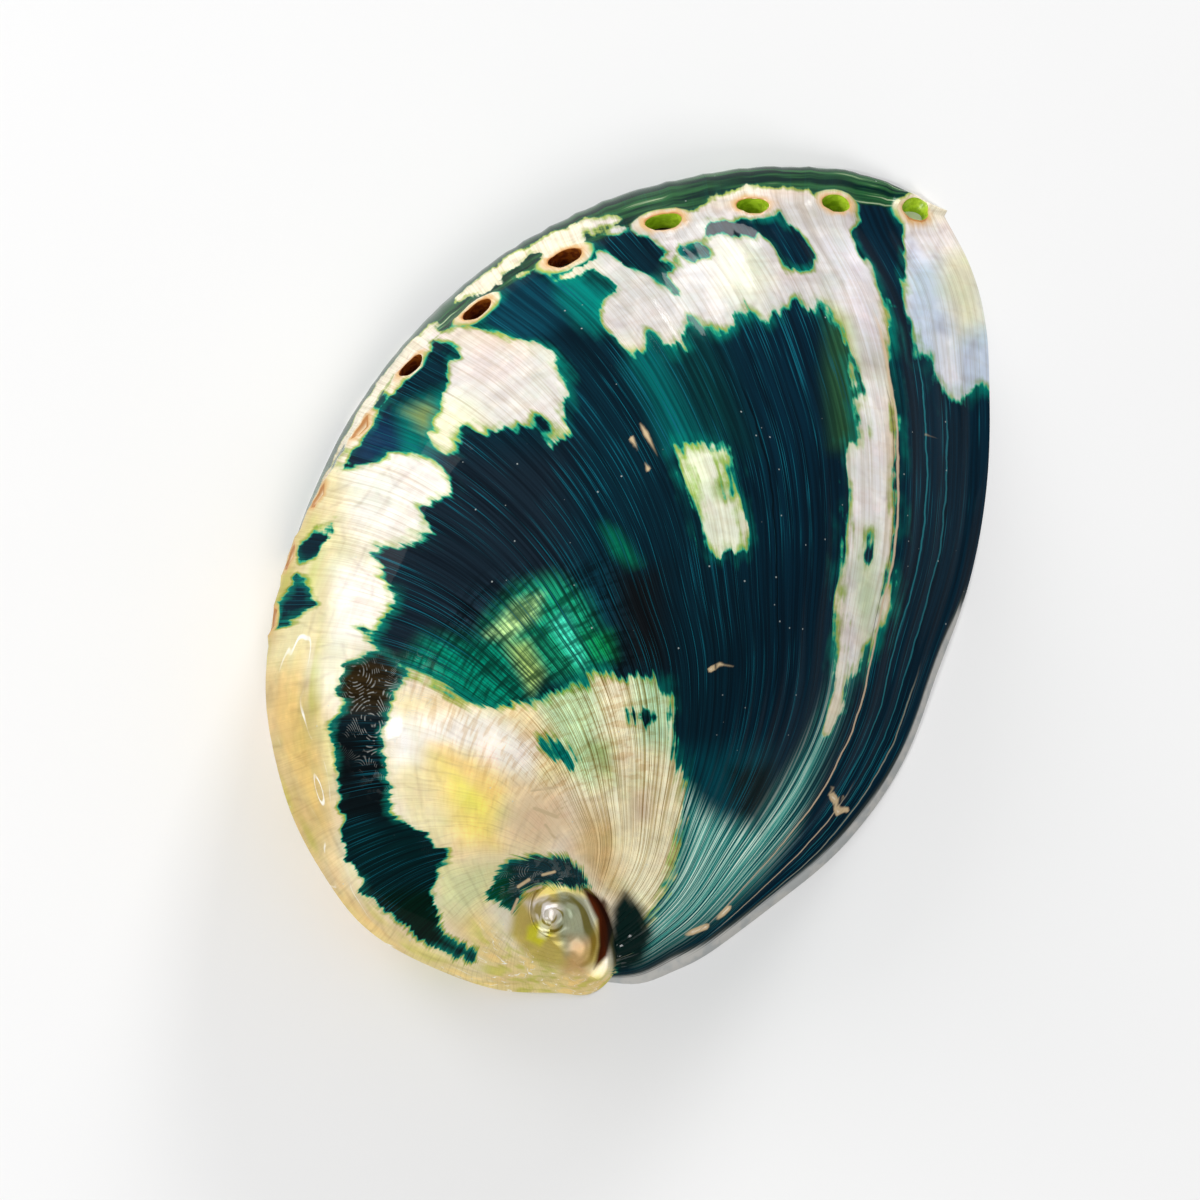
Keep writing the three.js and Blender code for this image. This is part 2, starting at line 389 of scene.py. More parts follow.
# ---- Mesh making --------------------------------------------------------------------------


def deselect_all() -> None:
    """Leaves no object selected."""
    bpy.ops.object.select_all(action="DESELECT")


def activate(piece: bpy.types.Object) -> None:
    """Selects one object and makes it the active one.

    Args:
        piece: The object.
    """
    deselect_all()
    piece.select_set(True)
    bpy.context.view_layer.objects.active = piece


def sheet(name: str, points: np.ndarray, growth: np.ndarray) -> bpy.types.Object:
    """Adds a grid and moves its vertices to the given lines of points.

    Args:
        name: Name of the object.
        points: Points in millimetres, line by line.
        growth: For each point, its growth coordinates, kept in the map named growth.

    Returns:
        The sheet.
    """
    rows, columns = points.shape[:2]
    deselect_all()
    bpy.ops.mesh.primitive_grid_add(x_subdivisions=columns - 1, y_subdivisions=rows - 1, size=2)
    piece = bpy.context.object
    piece.name = name
    mesh = piece.data
    flat = np.empty(len(mesh.vertices) * 3)
    mesh.vertices.foreach_get("co", flat)
    place = flat.reshape(-1, 3)
    column = np.rint((place[:, 0] + 1) / 2 * (columns - 1)).astype(int)
    row = np.rint((place[:, 1] + 1) / 2 * (rows - 1)).astype(int)
    mesh.vertices.foreach_set("co", (points[row, column] * MILLIMETRE).ravel())
    corner = np.empty(len(mesh.loops), int)
    mesh.loops.foreach_get("vertex_index", corner)
    mesh.uv_layers[0].name = "growth"
    mesh.uv_layers["growth"].data.foreach_set("uv", growth[row[corner], column[corner]].ravel())
    mesh.update()
    return piece


def join(pieces: list) -> bpy.types.Object:
    """Joins pieces into the first one.

    Args:
        pieces: The pieces.

    Returns:
        The joined piece.
    """
    deselect_all()
    for piece in pieces:
        piece.select_set(True)
    bpy.context.view_layer.objects.active = pieces[0]
    bpy.ops.object.join()
    return bpy.context.object


def edit(piece: bpy.types.Object, mode: str = "VERT") -> None:
    """Opens a piece in edit mode.

    Args:
        piece: The piece.
        mode: VERT, EDGE or FACE selection.
    """
    activate(piece)
    bpy.ops.object.mode_set(mode="EDIT")
    bpy.ops.mesh.select_mode(type=mode)


def leave_edit() -> None:
    """Goes back to object mode."""
    bpy.ops.object.mode_set(mode="OBJECT")


def boundary_loops_at_rim(piece: bpy.types.Object) -> None:
    """Fills the flat ring between the outer and the inner edge on the rim plane.

    Args:
        piece: The joined shell, open only along those two edges.
    """
    edit(piece, "EDGE")
    bpy.ops.mesh.select_all(action="DESELECT")
    bpy.ops.mesh.select_non_manifold(
        extend=False, use_wire=False, use_boundary=True, use_multi_face=False,
        use_non_contiguous=False, use_verts=False,
    )
    bpy.ops.mesh.fill(use_beauty=True)
    leave_edit()


def per_vertex_growth(mesh: bpy.types.Mesh) -> np.ndarray:
    """Reads the growth map at the vertices.

    Args:
        mesh: The mesh.

    Returns:
        For each vertex, its growth coordinates from the face of smallest age.
    """
    corner = np.empty(len(mesh.loops), int)
    mesh.loops.foreach_get("vertex_index", corner)
    values = np.empty(len(mesh.loops) * 2)
    mesh.uv_layers["growth"].data.foreach_get("uv", values)
    values = values.reshape(-1, 2)
    order = np.argsort(-values[:, 1], kind="stable")
    result = np.zeros((len(mesh.vertices), 2))
    result[corner[order]] = values[order]
    return result


def positions(mesh: bpy.types.Mesh) -> np.ndarray:
    """Vertex places in millimetres.

    Args:
        mesh: The mesh.

    Returns:
        A row for each vertex.
    """
    flat = np.empty(len(mesh.vertices) * 3)
    mesh.vertices.foreach_get("co", flat)
    return flat.reshape(-1, 3) / MILLIMETRE


def normals(mesh: bpy.types.Mesh) -> np.ndarray:
    """Vertex normals.

    Args:
        mesh: The mesh.

    Returns:
        A row for each vertex.
    """
    flat = np.empty(len(mesh.vertices) * 3)
    mesh.vertices.foreach_get("normal", flat)
    return flat.reshape(-1, 3)


def set_positions(mesh: bpy.types.Mesh, places: np.ndarray) -> None:
    """Moves the vertices to places given in millimetres."""
    mesh.vertices.foreach_set("co", (places * MILLIMETRE).ravel())
    mesh.update()


# ---- The shell ---------------------------------------------------------------------------


class Zone(Enum):
    """Parts of the shell's surface, each with its own finish."""

    OUTSIDE = 0
    INSIDE = 1
    RIM = 2
    GREEN_PORE = 3
    BROWN_PORE = 4


@dataclass(frozen=True)
class Pore:
    """A breathing pore on the keel."""

    angle: float
    length: float
    width: float
    zone: Zone


@dataclass
class ShellBody:
    """Builds the shell's mesh: dome, wall, spire, hollow, rim and pores."""

    law: GrowthLaw = GrowthLaw()
    centre: np.ndarray = field(default_factory=lambda: np.zeros(3))
    rows_per_lag: int = 224
    crowding: float = 1.5
    spire_rows: int = 292
    columns: int = 125
    wall_columns: int = 17
    inner_rows_per_lag: int = 64
    inner_columns: int = 33
    wall_thickness: float = 2.0
    roof_thickness: float = 1.8
    ledge: float = 7.0
    ledge_shape: tuple = (
        (0, 0), (0.2, 0), (0.4, 0), (0.6, 0.05), (0.72, 0.2), (0.82, 0.45), (0.9, 0.7),
        (0.95, 0.9), (0.98, 0.98), (1.0, 1.0),
    )
    wall_width: float = 9.0
    lip_length: float = 135.0
    growth_stops: tuple = ((8.3, 0.22, 0.45), (13.6, 0.16, 0.5))
    spire_crown: float = 5.0
    lip_lift: float = 1.5
    tip_reach: float = 0.004
    tip_floor: float = 0.0015
    peg_reach: float = 4.5
    peg_lean: float = 0.35
    smooth_angle: float = 40.0
    outline_reach: float = 48.0
    pores: tuple = (
        Pore(2.2, 4.3, 2.9, Zone.GREEN_PORE),
        Pore(8.2, 4.3, 2.9, Zone.GREEN_PORE),
        Pore(14.8, 4.7, 3.0, Zone.GREEN_PORE),
        Pore(22.3, 5.2, 3.4, Zone.GREEN_PORE),
        Pore(31.5, 4.9, 3.3, Zone.BROWN_PORE),
        Pore(41.0, 4.5, 3.0, Zone.BROWN_PORE),
        Pore(49.5, 4.0, 2.7, Zone.BROWN_PORE),
    )
    sealed: tuple = (57.5, 66.0, 73.5, 81.0)
    outline_middle: tuple = (5.4, 0.0)
    outline_swell: tuple = (
        (0, 0), (15, 0.2), (30, 0.5), (45, 0.8), (54, 0.2), (62, 0), (150, 0), (225, -0.2),
        (240, -0.6), (250, -0.9), (258, -0.9), (264, 0.1), (270, 1.2), (276, 0.6), (285, 0),
        (296, 0.5), (306, 0.9), (318, 0.8), (332, 0.3), (346, 0), (360, 0),
    )
    wall_swell: tuple = (
        (0, 0), (40, 0), (50, 0.8), (60, 1.3), (75, 1.2), (90, 0.7), (105, 0.7), (120, 0.7),
        (135, 0.3), (150, 0), (360, 0),
    )

    def angles(self, per_lag: int, count: int) -> np.ndarray:
        """Angles of the growth lines, crowded towards the lip, in the same way in each lag.

        Args:
            per_lag: Lines in one lag.
            count: How many lines.

        Returns:
            Degrees back from the lip.
        """
        step = np.arange(count)
        lag, rest = np.divmod(step, per_lag)
        return self.law.lag * (lag + (rest / per_lag) ** self.crowding)

    def dome_sheet(self, per_lag: int, count: int, columns: int, name: str) -> bpy.types.Object:
        """The sheet that is coiled into dome and spire.

        Args:
            per_lag: Growth lines in one lag.
            count: Growth lines in all.
            columns: Points in each line.
            name: Name of the sheet.

        Returns:
            The sheet.
        """
        angles = self.angles(per_lag, count)
        along = np.linspace(0, 1, columns)
        points = self.law.lines(angles, along)
        growth = np.stack(np.meshgrid(along, angles / DEGREES_PER_AGE), axis=-1)
        return sheet(name, points, growth)

    def wall_sheet(self, per_lag: int, columns: int, name: str) -> bpy.types.Object:
        """The wall below the keel.

        Args:
            per_lag: Growth lines in one lag.
            columns: Points in each line.
            name: Name of the sheet.

        Returns:
            The sheet.
        """
        angles = self.angles(per_lag, per_lag + 1)
        down = np.linspace(0, 1, columns)
        points = self.law.wall(angles, down)
        growth = np.stack(np.meshgrid(1 + WALL_SHARE * down, angles / DEGREES_PER_AGE), axis=-1)
        return sheet(name, points, growth)

    def inner_wall_sheet(self, per_lag: int, name: str) -> bpy.types.Object:
        """The inside of the wall, which runs in over the ledge at its foot.

        Args:
            per_lag: Growth lines in one lag.
            name: Name of the sheet.

        Returns:
            The sheet.
        """
        angles = self.angles(per_lag, per_lag + 1)
        down, reach = np.array(self.ledge_shape).T
        points = self.law.wall(angles, down)
        ahead = self.law.foot_points(np.maximum(angles - 1, 0))
        behind = self.law.foot_points(np.minimum(angles + 1, self.law.lag))
        inward = np.cross(unit(ahead - behind), np.array([0.0, 0.0, 1.0]))
        width = self.ledge * np.minimum(fade(angles, 2, 18), fade(angles, 256, 200))
        points = points + inward[:, None] * (width[:, None] * reach)[..., None]
        growth = np.stack(np.meshgrid(1 + WALL_SHARE * down, angles / DEGREES_PER_AGE), axis=-1)
        return sheet(name, points, growth)

    def close_tip(self, piece: bpy.types.Object) -> None:
        """Closes the small end of a coiled sheet with a fan of triangles.

        Args:
            piece: The joined and merged skin.
        """
        edit(piece, "EDGE")
        bpy.ops.mesh.select_all(action="DESELECT")
        leave_edit()
        mesh = piece.data
        apex = self.law.apex() * MILLIMETRE
        uses = np.zeros(len(mesh.edges), int)
        edge_index = np.empty(len(mesh.loops), int)
        mesh.loops.foreach_get("edge_index", edge_index)
        np.add.at(uses, edge_index, 1)
        for index in np.nonzero(uses == 1)[0]:
            edge = mesh.edges[index]
            middle = (mesh.vertices[edge.vertices[0]].co + mesh.vertices[edge.vertices[1]].co) / 2
            near = math.dist(middle[:2], apex[:2]) < self.tip_reach
            if near and middle.z > self.tip_floor:
                edge.select = True
        edit(piece, "EDGE")
        bpy.ops.mesh.edge_face_add()
        bpy.ops.mesh.poke()
        leave_edit()

    def skin(self, name: str, inner: bool) -> bpy.types.Object:
        """Builds the outer or the inner skin, open only at the rim.

        Args:
            name: Name of the skin.
            inner: Whether it is the inner one.

        Returns:
            The skin.
        """
        if inner:
            per_lag = self.inner_rows_per_lag
            count = per_lag * self.spire_rows // self.rows_per_lag + per_lag
            dome = self.dome_sheet(per_lag, count, self.inner_columns, name)
            wall = self.inner_wall_sheet(per_lag, name + " wall")
        else:
            dome = self.dome_sheet(
                self.rows_per_lag, self.rows_per_lag + self.spire_rows, self.columns, name
            )
            wall = self.wall_sheet(self.rows_per_lag, self.wall_columns, name + " wall")
        piece = join([dome, wall])
        edit(piece)
        bpy.ops.mesh.select_all(action="SELECT")
        bpy.ops.mesh.remove_doubles(threshold=0.000001)
        leave_edit()
        self.close_tip(piece)
        return piece

    def relief(self, mesh: bpy.types.Mesh) -> None:
        """Raises growth ridges, the keel, pore rims, whorls and the worn edge of the lip.

        Args:
            mesh: The outer skin.
        """
        places, outward, growth = positions(mesh), normals(mesh), per_vertex_growth(mesh)
        heart = np.array([self.centre[0], self.centre[1], 4.0])
        facing = np.sum((places - heart) * outward, axis=1, keepdims=True)
        outward = outward * np.where(facing < 0, -1, 1)
        along, angle = growth[:, 0], growth[:, 1] * DEGREES_PER_AGE
        size = self.law.size(angle)
        on_wall = along > PAST_KEEL
        keel_gap = np.where(on_wall, (along - 1) / WALL_SHARE * self.wall_width,
                            (1 - along) * self.lip_length * size)
        off_rim = fade(places[:, 2], 0.2, 2.0)
        waves = 0.07 * np.sin(angle * 2.5 + 1.3 * np.sin(angle / 6)) * fade(angle, 110, 60)
        waves += 0.05 * np.sin(angle * 4.9 + 2.1 * np.sin(angle / 9 + 1)) * fade(angle, 60, 30)
        for at, tall, wide in self.growth_stops:
            waves += tall * np.exp(-(((angle - at) / wide) ** 2)) * fade(along, 0.05, 0.2)
        waves += 0.12 * np.sin(places[:, 0] * 0.31 + 1.0) * np.sin(places[:, 1] * 0.23)
        ridge = 0.45 * np.exp(-((keel_gap / 2.6) ** 2)) * fade(angle, 150, 100)
        crown = self.spire_crown * size * np.clip(4 * along * (1 - along), 0, 1) * (angle > self.law.lag)
        raised = (waves + ridge) * off_rim + np.where(on_wall, 0, crown)
        for pore_angle, length, width, rim, dip in self.pore_relief():
            middle = self.law.keel(np.array(pore_angle))
            spread = self.ellipse_distance(places, middle, pore_angle, length, width)
            raised += rim * np.exp(-(((spread - 1.3) / 0.42) ** 2)) * off_rim
            raised -= dip * np.exp(-((spread / 0.8) ** 2)) * off_rim
        places = places + outward * raised[:, None]
        from_lip = angle * LIP_PER_DEGREE * np.where(on_wall, 0.2, np.clip(along * 2.2, 0.15, 1))
        edge = fade(along, 0.0, 0.1) * fade(along, 0.8, 0.5)
        places[:, 2] += self.lip_lift * (1 - np.exp(-from_lip / 0.7)) * edge * fade(angle, 14, 3)
        set_positions(mesh, places)

    def pore_relief(self) -> list:
        """Angle, length, width, rim height and dip of each pore, open or sealed.

        Returns:
            A row for each pore.
        """
        rows = [(pore.angle, pore.length, pore.width, 0.45, 0.0) for pore in self.pores]
        for angle in self.sealed:
            size = float(self.law.size(np.array(angle)))
            rows.append((angle, 5.0 * size + 0.6, 3.4 * size + 0.4, 0.3, 0.75))
        return rows

    def pore_frame(self, angle: float) -> tuple:
        """The keel's direction and the direction across it, at a pore.

        Args:
            angle: The pore's angle.

        Returns:
            Unit vectors along the keel and across it.
        """
        along = unit(self.law.keel(np.array(angle - 0.5)) - self.law.keel(np.array(angle + 0.5)))
        across = unit(np.cross(along, np.array([0.0, 0.0, 1.0])))
        return along, across

    def ellipse_distance(
        self, places: np.ndarray, middle: np.ndarray, angle: float, length: float, width: float
    ) -> np.ndarray:
        """How far places lie from a pore, 1 being its edge.

        Args:
            places: Places to judge.
            middle: The pore's middle.
            angle: The pore's angle.
            length: Its length along the keel.
            width: Its width across.

        Returns:
            The distance for each place.
        """
        along, across = self.pore_frame(angle)
        off = places - middle
        up = np.cross(across, along)
        u = off @ along / (length / 2)
        v = off @ across / (width / 2)
        w = off @ up / (width / 2)
        return np.sqrt(u * u + v * v + w * w)

    def pore_cutter(self, pore: Pore, material: bpy.types.Material) -> bpy.types.Object:
        """Makes the oval peg that cuts one pore.

        Args:
            pore: The pore.
            material: The finish that its wall takes.

        Returns:
            The peg.
        """
        middle = self.law.keel(np.array(pore.angle))
        along, across = self.pore_frame(pore.angle)
        up = np.cross(across, along)
        up = up if up[2] > 0 else -up
        axis = unit(up + self.peg_lean * across * (1 if across[0] < 0 else -1))
        side = np.cross(axis, along)
        deselect_all()
        bpy.ops.mesh.primitive_cylinder_add(vertices=40, radius=1, depth=2)
        peg = bpy.context.object
        edit(peg)
        bpy.ops.mesh.select_all(action="SELECT")
        bpy.ops.transform.resize(value=(pore.length / 2, pore.width / 2, self.peg_reach))
        leave_edit()
        turn = Matrix([list(row) for row in np.stack([along, side, axis], axis=1)]).to_4x4()
        shift = Matrix.Translation(Vector(middle))
        peg.data.transform(Matrix.Scale(MILLIMETRE, 4) @ shift @ turn)
        peg.data.uv_layers[0].name = "growth"
        peg.data.materials.append(material)
        return peg

    def build(self, materials: dict) -> bpy.types.Object:
        """Builds the whole shell.

        Args:
            materials: A material for each zone.

        Returns:
            The finished piece, in the CAD solid's place.
        """
        outer = self.skin("polished_abalone_shell", inner=False)
        centre = self.law_centre(outer.data)
        self.centre = centre
        self.relief(outer.data)
        self.paint_zone(outer.data, Zone.OUTSIDE, materials)
        inner = self.skin("hollow", inner=True)
        self.hollow(inner, centre)
        self.paint_zone(inner.data, Zone.INSIDE, materials)
        shell = join([outer, inner])
        before = len(shell.data.polygons)
        boundary_loops_at_rim(shell)
        LOG.info("rim ring: %d faces", len(shell.data.polygons) - before)
        for polygon in shell.data.polygons:
            if polygon.index >= before:
                polygon.material_index = Zone.RIM.value
        edit(shell, "FACE")
        bpy.ops.mesh.select_all(action="SELECT")
        bpy.ops.mesh.quads_convert_to_tris()
        bpy.ops.mesh.normals_make_consistent(inside=False)
        leave_edit()
        pegs = join([self.pore_cutter(pore, materials[pore.zone]) for pore in self.pores])
        activate(shell)
        cut = shell.modifiers.new("pores", "BOOLEAN")
        cut.operation = "DIFFERENCE"
        cut.solver = "EXACT"
        cut.material_mode = "TRANSFER"
        cut.object = pegs
        bpy.ops.object.modifier_apply(modifier=cut.name)
        bpy.data.objects.remove(pegs, do_unlink=True)
        activate(shell)
        bpy.ops.object.shade_smooth_by_angle(angle=math.radians(self.smooth_angle))
        self.centre_over(shell.data, centre)
        return shell

    def law_centre(self, mesh: bpy.types.Mesh) -> np.ndarray:
        """Middle of the outer skin's box, at the rim plane.

        Args:
            mesh: The outer skin.

        Returns:
            Its middle, in millimetres.
        """
        places = positions(mesh)
        middle = (places.min(axis=0) + places.max(axis=0)) / 2
        return np.array([middle[0], middle[1], 0.0])

    def hollow(self, inner: bpy.types.Object, centre: np.ndarray) -> None:
        """Draws the inner skin in by the wall's thickness and trims it at the rim plane.

        Args:
            inner: The inner skin.
            centre: Middle of the outer skin's box.
        """
        places = positions(inner.data)
        size = places.max(axis=0) - places.min(axis=0)
        shrink = 1 - 2 * self.wall_thickness / size
        shrink[2] = 1
        places = (places - centre) * shrink + centre - np.array([0, 0, self.roof_thickness])
        set_positions(inner.data, places)
        edit(inner)
        bpy.ops.mesh.select_all(action="SELECT")
        bpy.ops.mesh.bisect(
            plane_co=(0, 0, 0), plane_no=(0, 0, 1), clear_inner=True, threshold=1e-7
        )
        leave_edit()
        places = positions(inner.data)
        places[np.abs(places[:, 2]) < 0.001, 2] = 0
        set_positions(inner.data, places)

    def paint_zone(self, mesh: bpy.types.Mesh, zone: Zone, materials: dict) -> None:
        """Gives all faces of a mesh one zone's finish.

        Args:
            mesh: The mesh.
            zone: The zone.
            materials: A material for each zone.
        """
        for each in Zone:
            mesh.materials.append(materials[each])
        mesh.polygons.foreach_set("material_index", [zone.value] * len(mesh.polygons))

    def centre_over(self, mesh: bpy.types.Mesh, centre: np.ndarray) -> None:
        """Moves the mesh so that the law's box stands over the origin, as the CAD solid's does.

        Args:
            mesh: The finished mesh.
            centre: Middle of the outer skin's box.
        """
        places = positions(mesh) - centre
        flat = VIEW.flat(places)
        off = flat - np.array(self.outline_middle)
        heading = np.degrees(np.arctan2(off[:, 1], off[:, 0])) % 360
        reach = np.clip(np.linalg.norm(off, axis=1) / self.outline_reach, 0, 1.2) ** 4
        swell = smooth_table(self.outline_swell, heading) * reach
        down = np.clip((per_vertex_growth(mesh)[:, 0] - 1) / WALL_SHARE, 0, 1)
        swell += smooth_table(self.wall_swell, heading) * fade(down, 0.02, 0.5)
        places[:, :2] += VIEW.on_rim_plane(unit(off) * swell[:, None])
        set_positions(mesh, places)


# ---- Markings, in millimetres across and up the shell as it lies --------------------------


class Mark(Enum):
    """What a marking changes."""

    WINDOW = "clear window in the dark layer"
    BLOT = "dark blot over a window"
    PALE = "tint of the clear layer"
    DARK = "tint of the dark layer"


@dataclass(frozen=True)
class Patch:
    """A marking with a given outline."""

    mark: Mark
    outline: tuple
    tint: tuple = (0.0, 0.0, 0.0)
    soft: float = 1.0
    share: float = 1.0

    def inside(self, places: np.ndarray) -> np.ndarray:
        """How deep places lie inside the outline.

        Args:
            places: Places across and up.

        Returns:
            Millimetres inside, negative outside.
        """
        corners = np.array(self.outline, float)
        following = np.roll(corners, -1, axis=0)
        nearest = np.full(len(places), 1e9)
        crossings = np.zeros(len(places), int)
        for start, end in zip(corners, following):
            run = end - start
            off = places - start
            share = np.clip(off @ run / max(run @ run, 1e-9), 0, 1)
            nearest = np.minimum(nearest, np.linalg.norm(off - share[:, None] * run, axis=1))
            if start[1] == end[1]:
                continue
            between = (start[1] > places[:, 1]) != (end[1] > places[:, 1])
            at = start[0] + (places[:, 1] - start[1]) * run[0] / run[1]
            crossings += between & (places[:, 0] < at)
        return np.where(crossings % 2 == 1, nearest, -nearest)


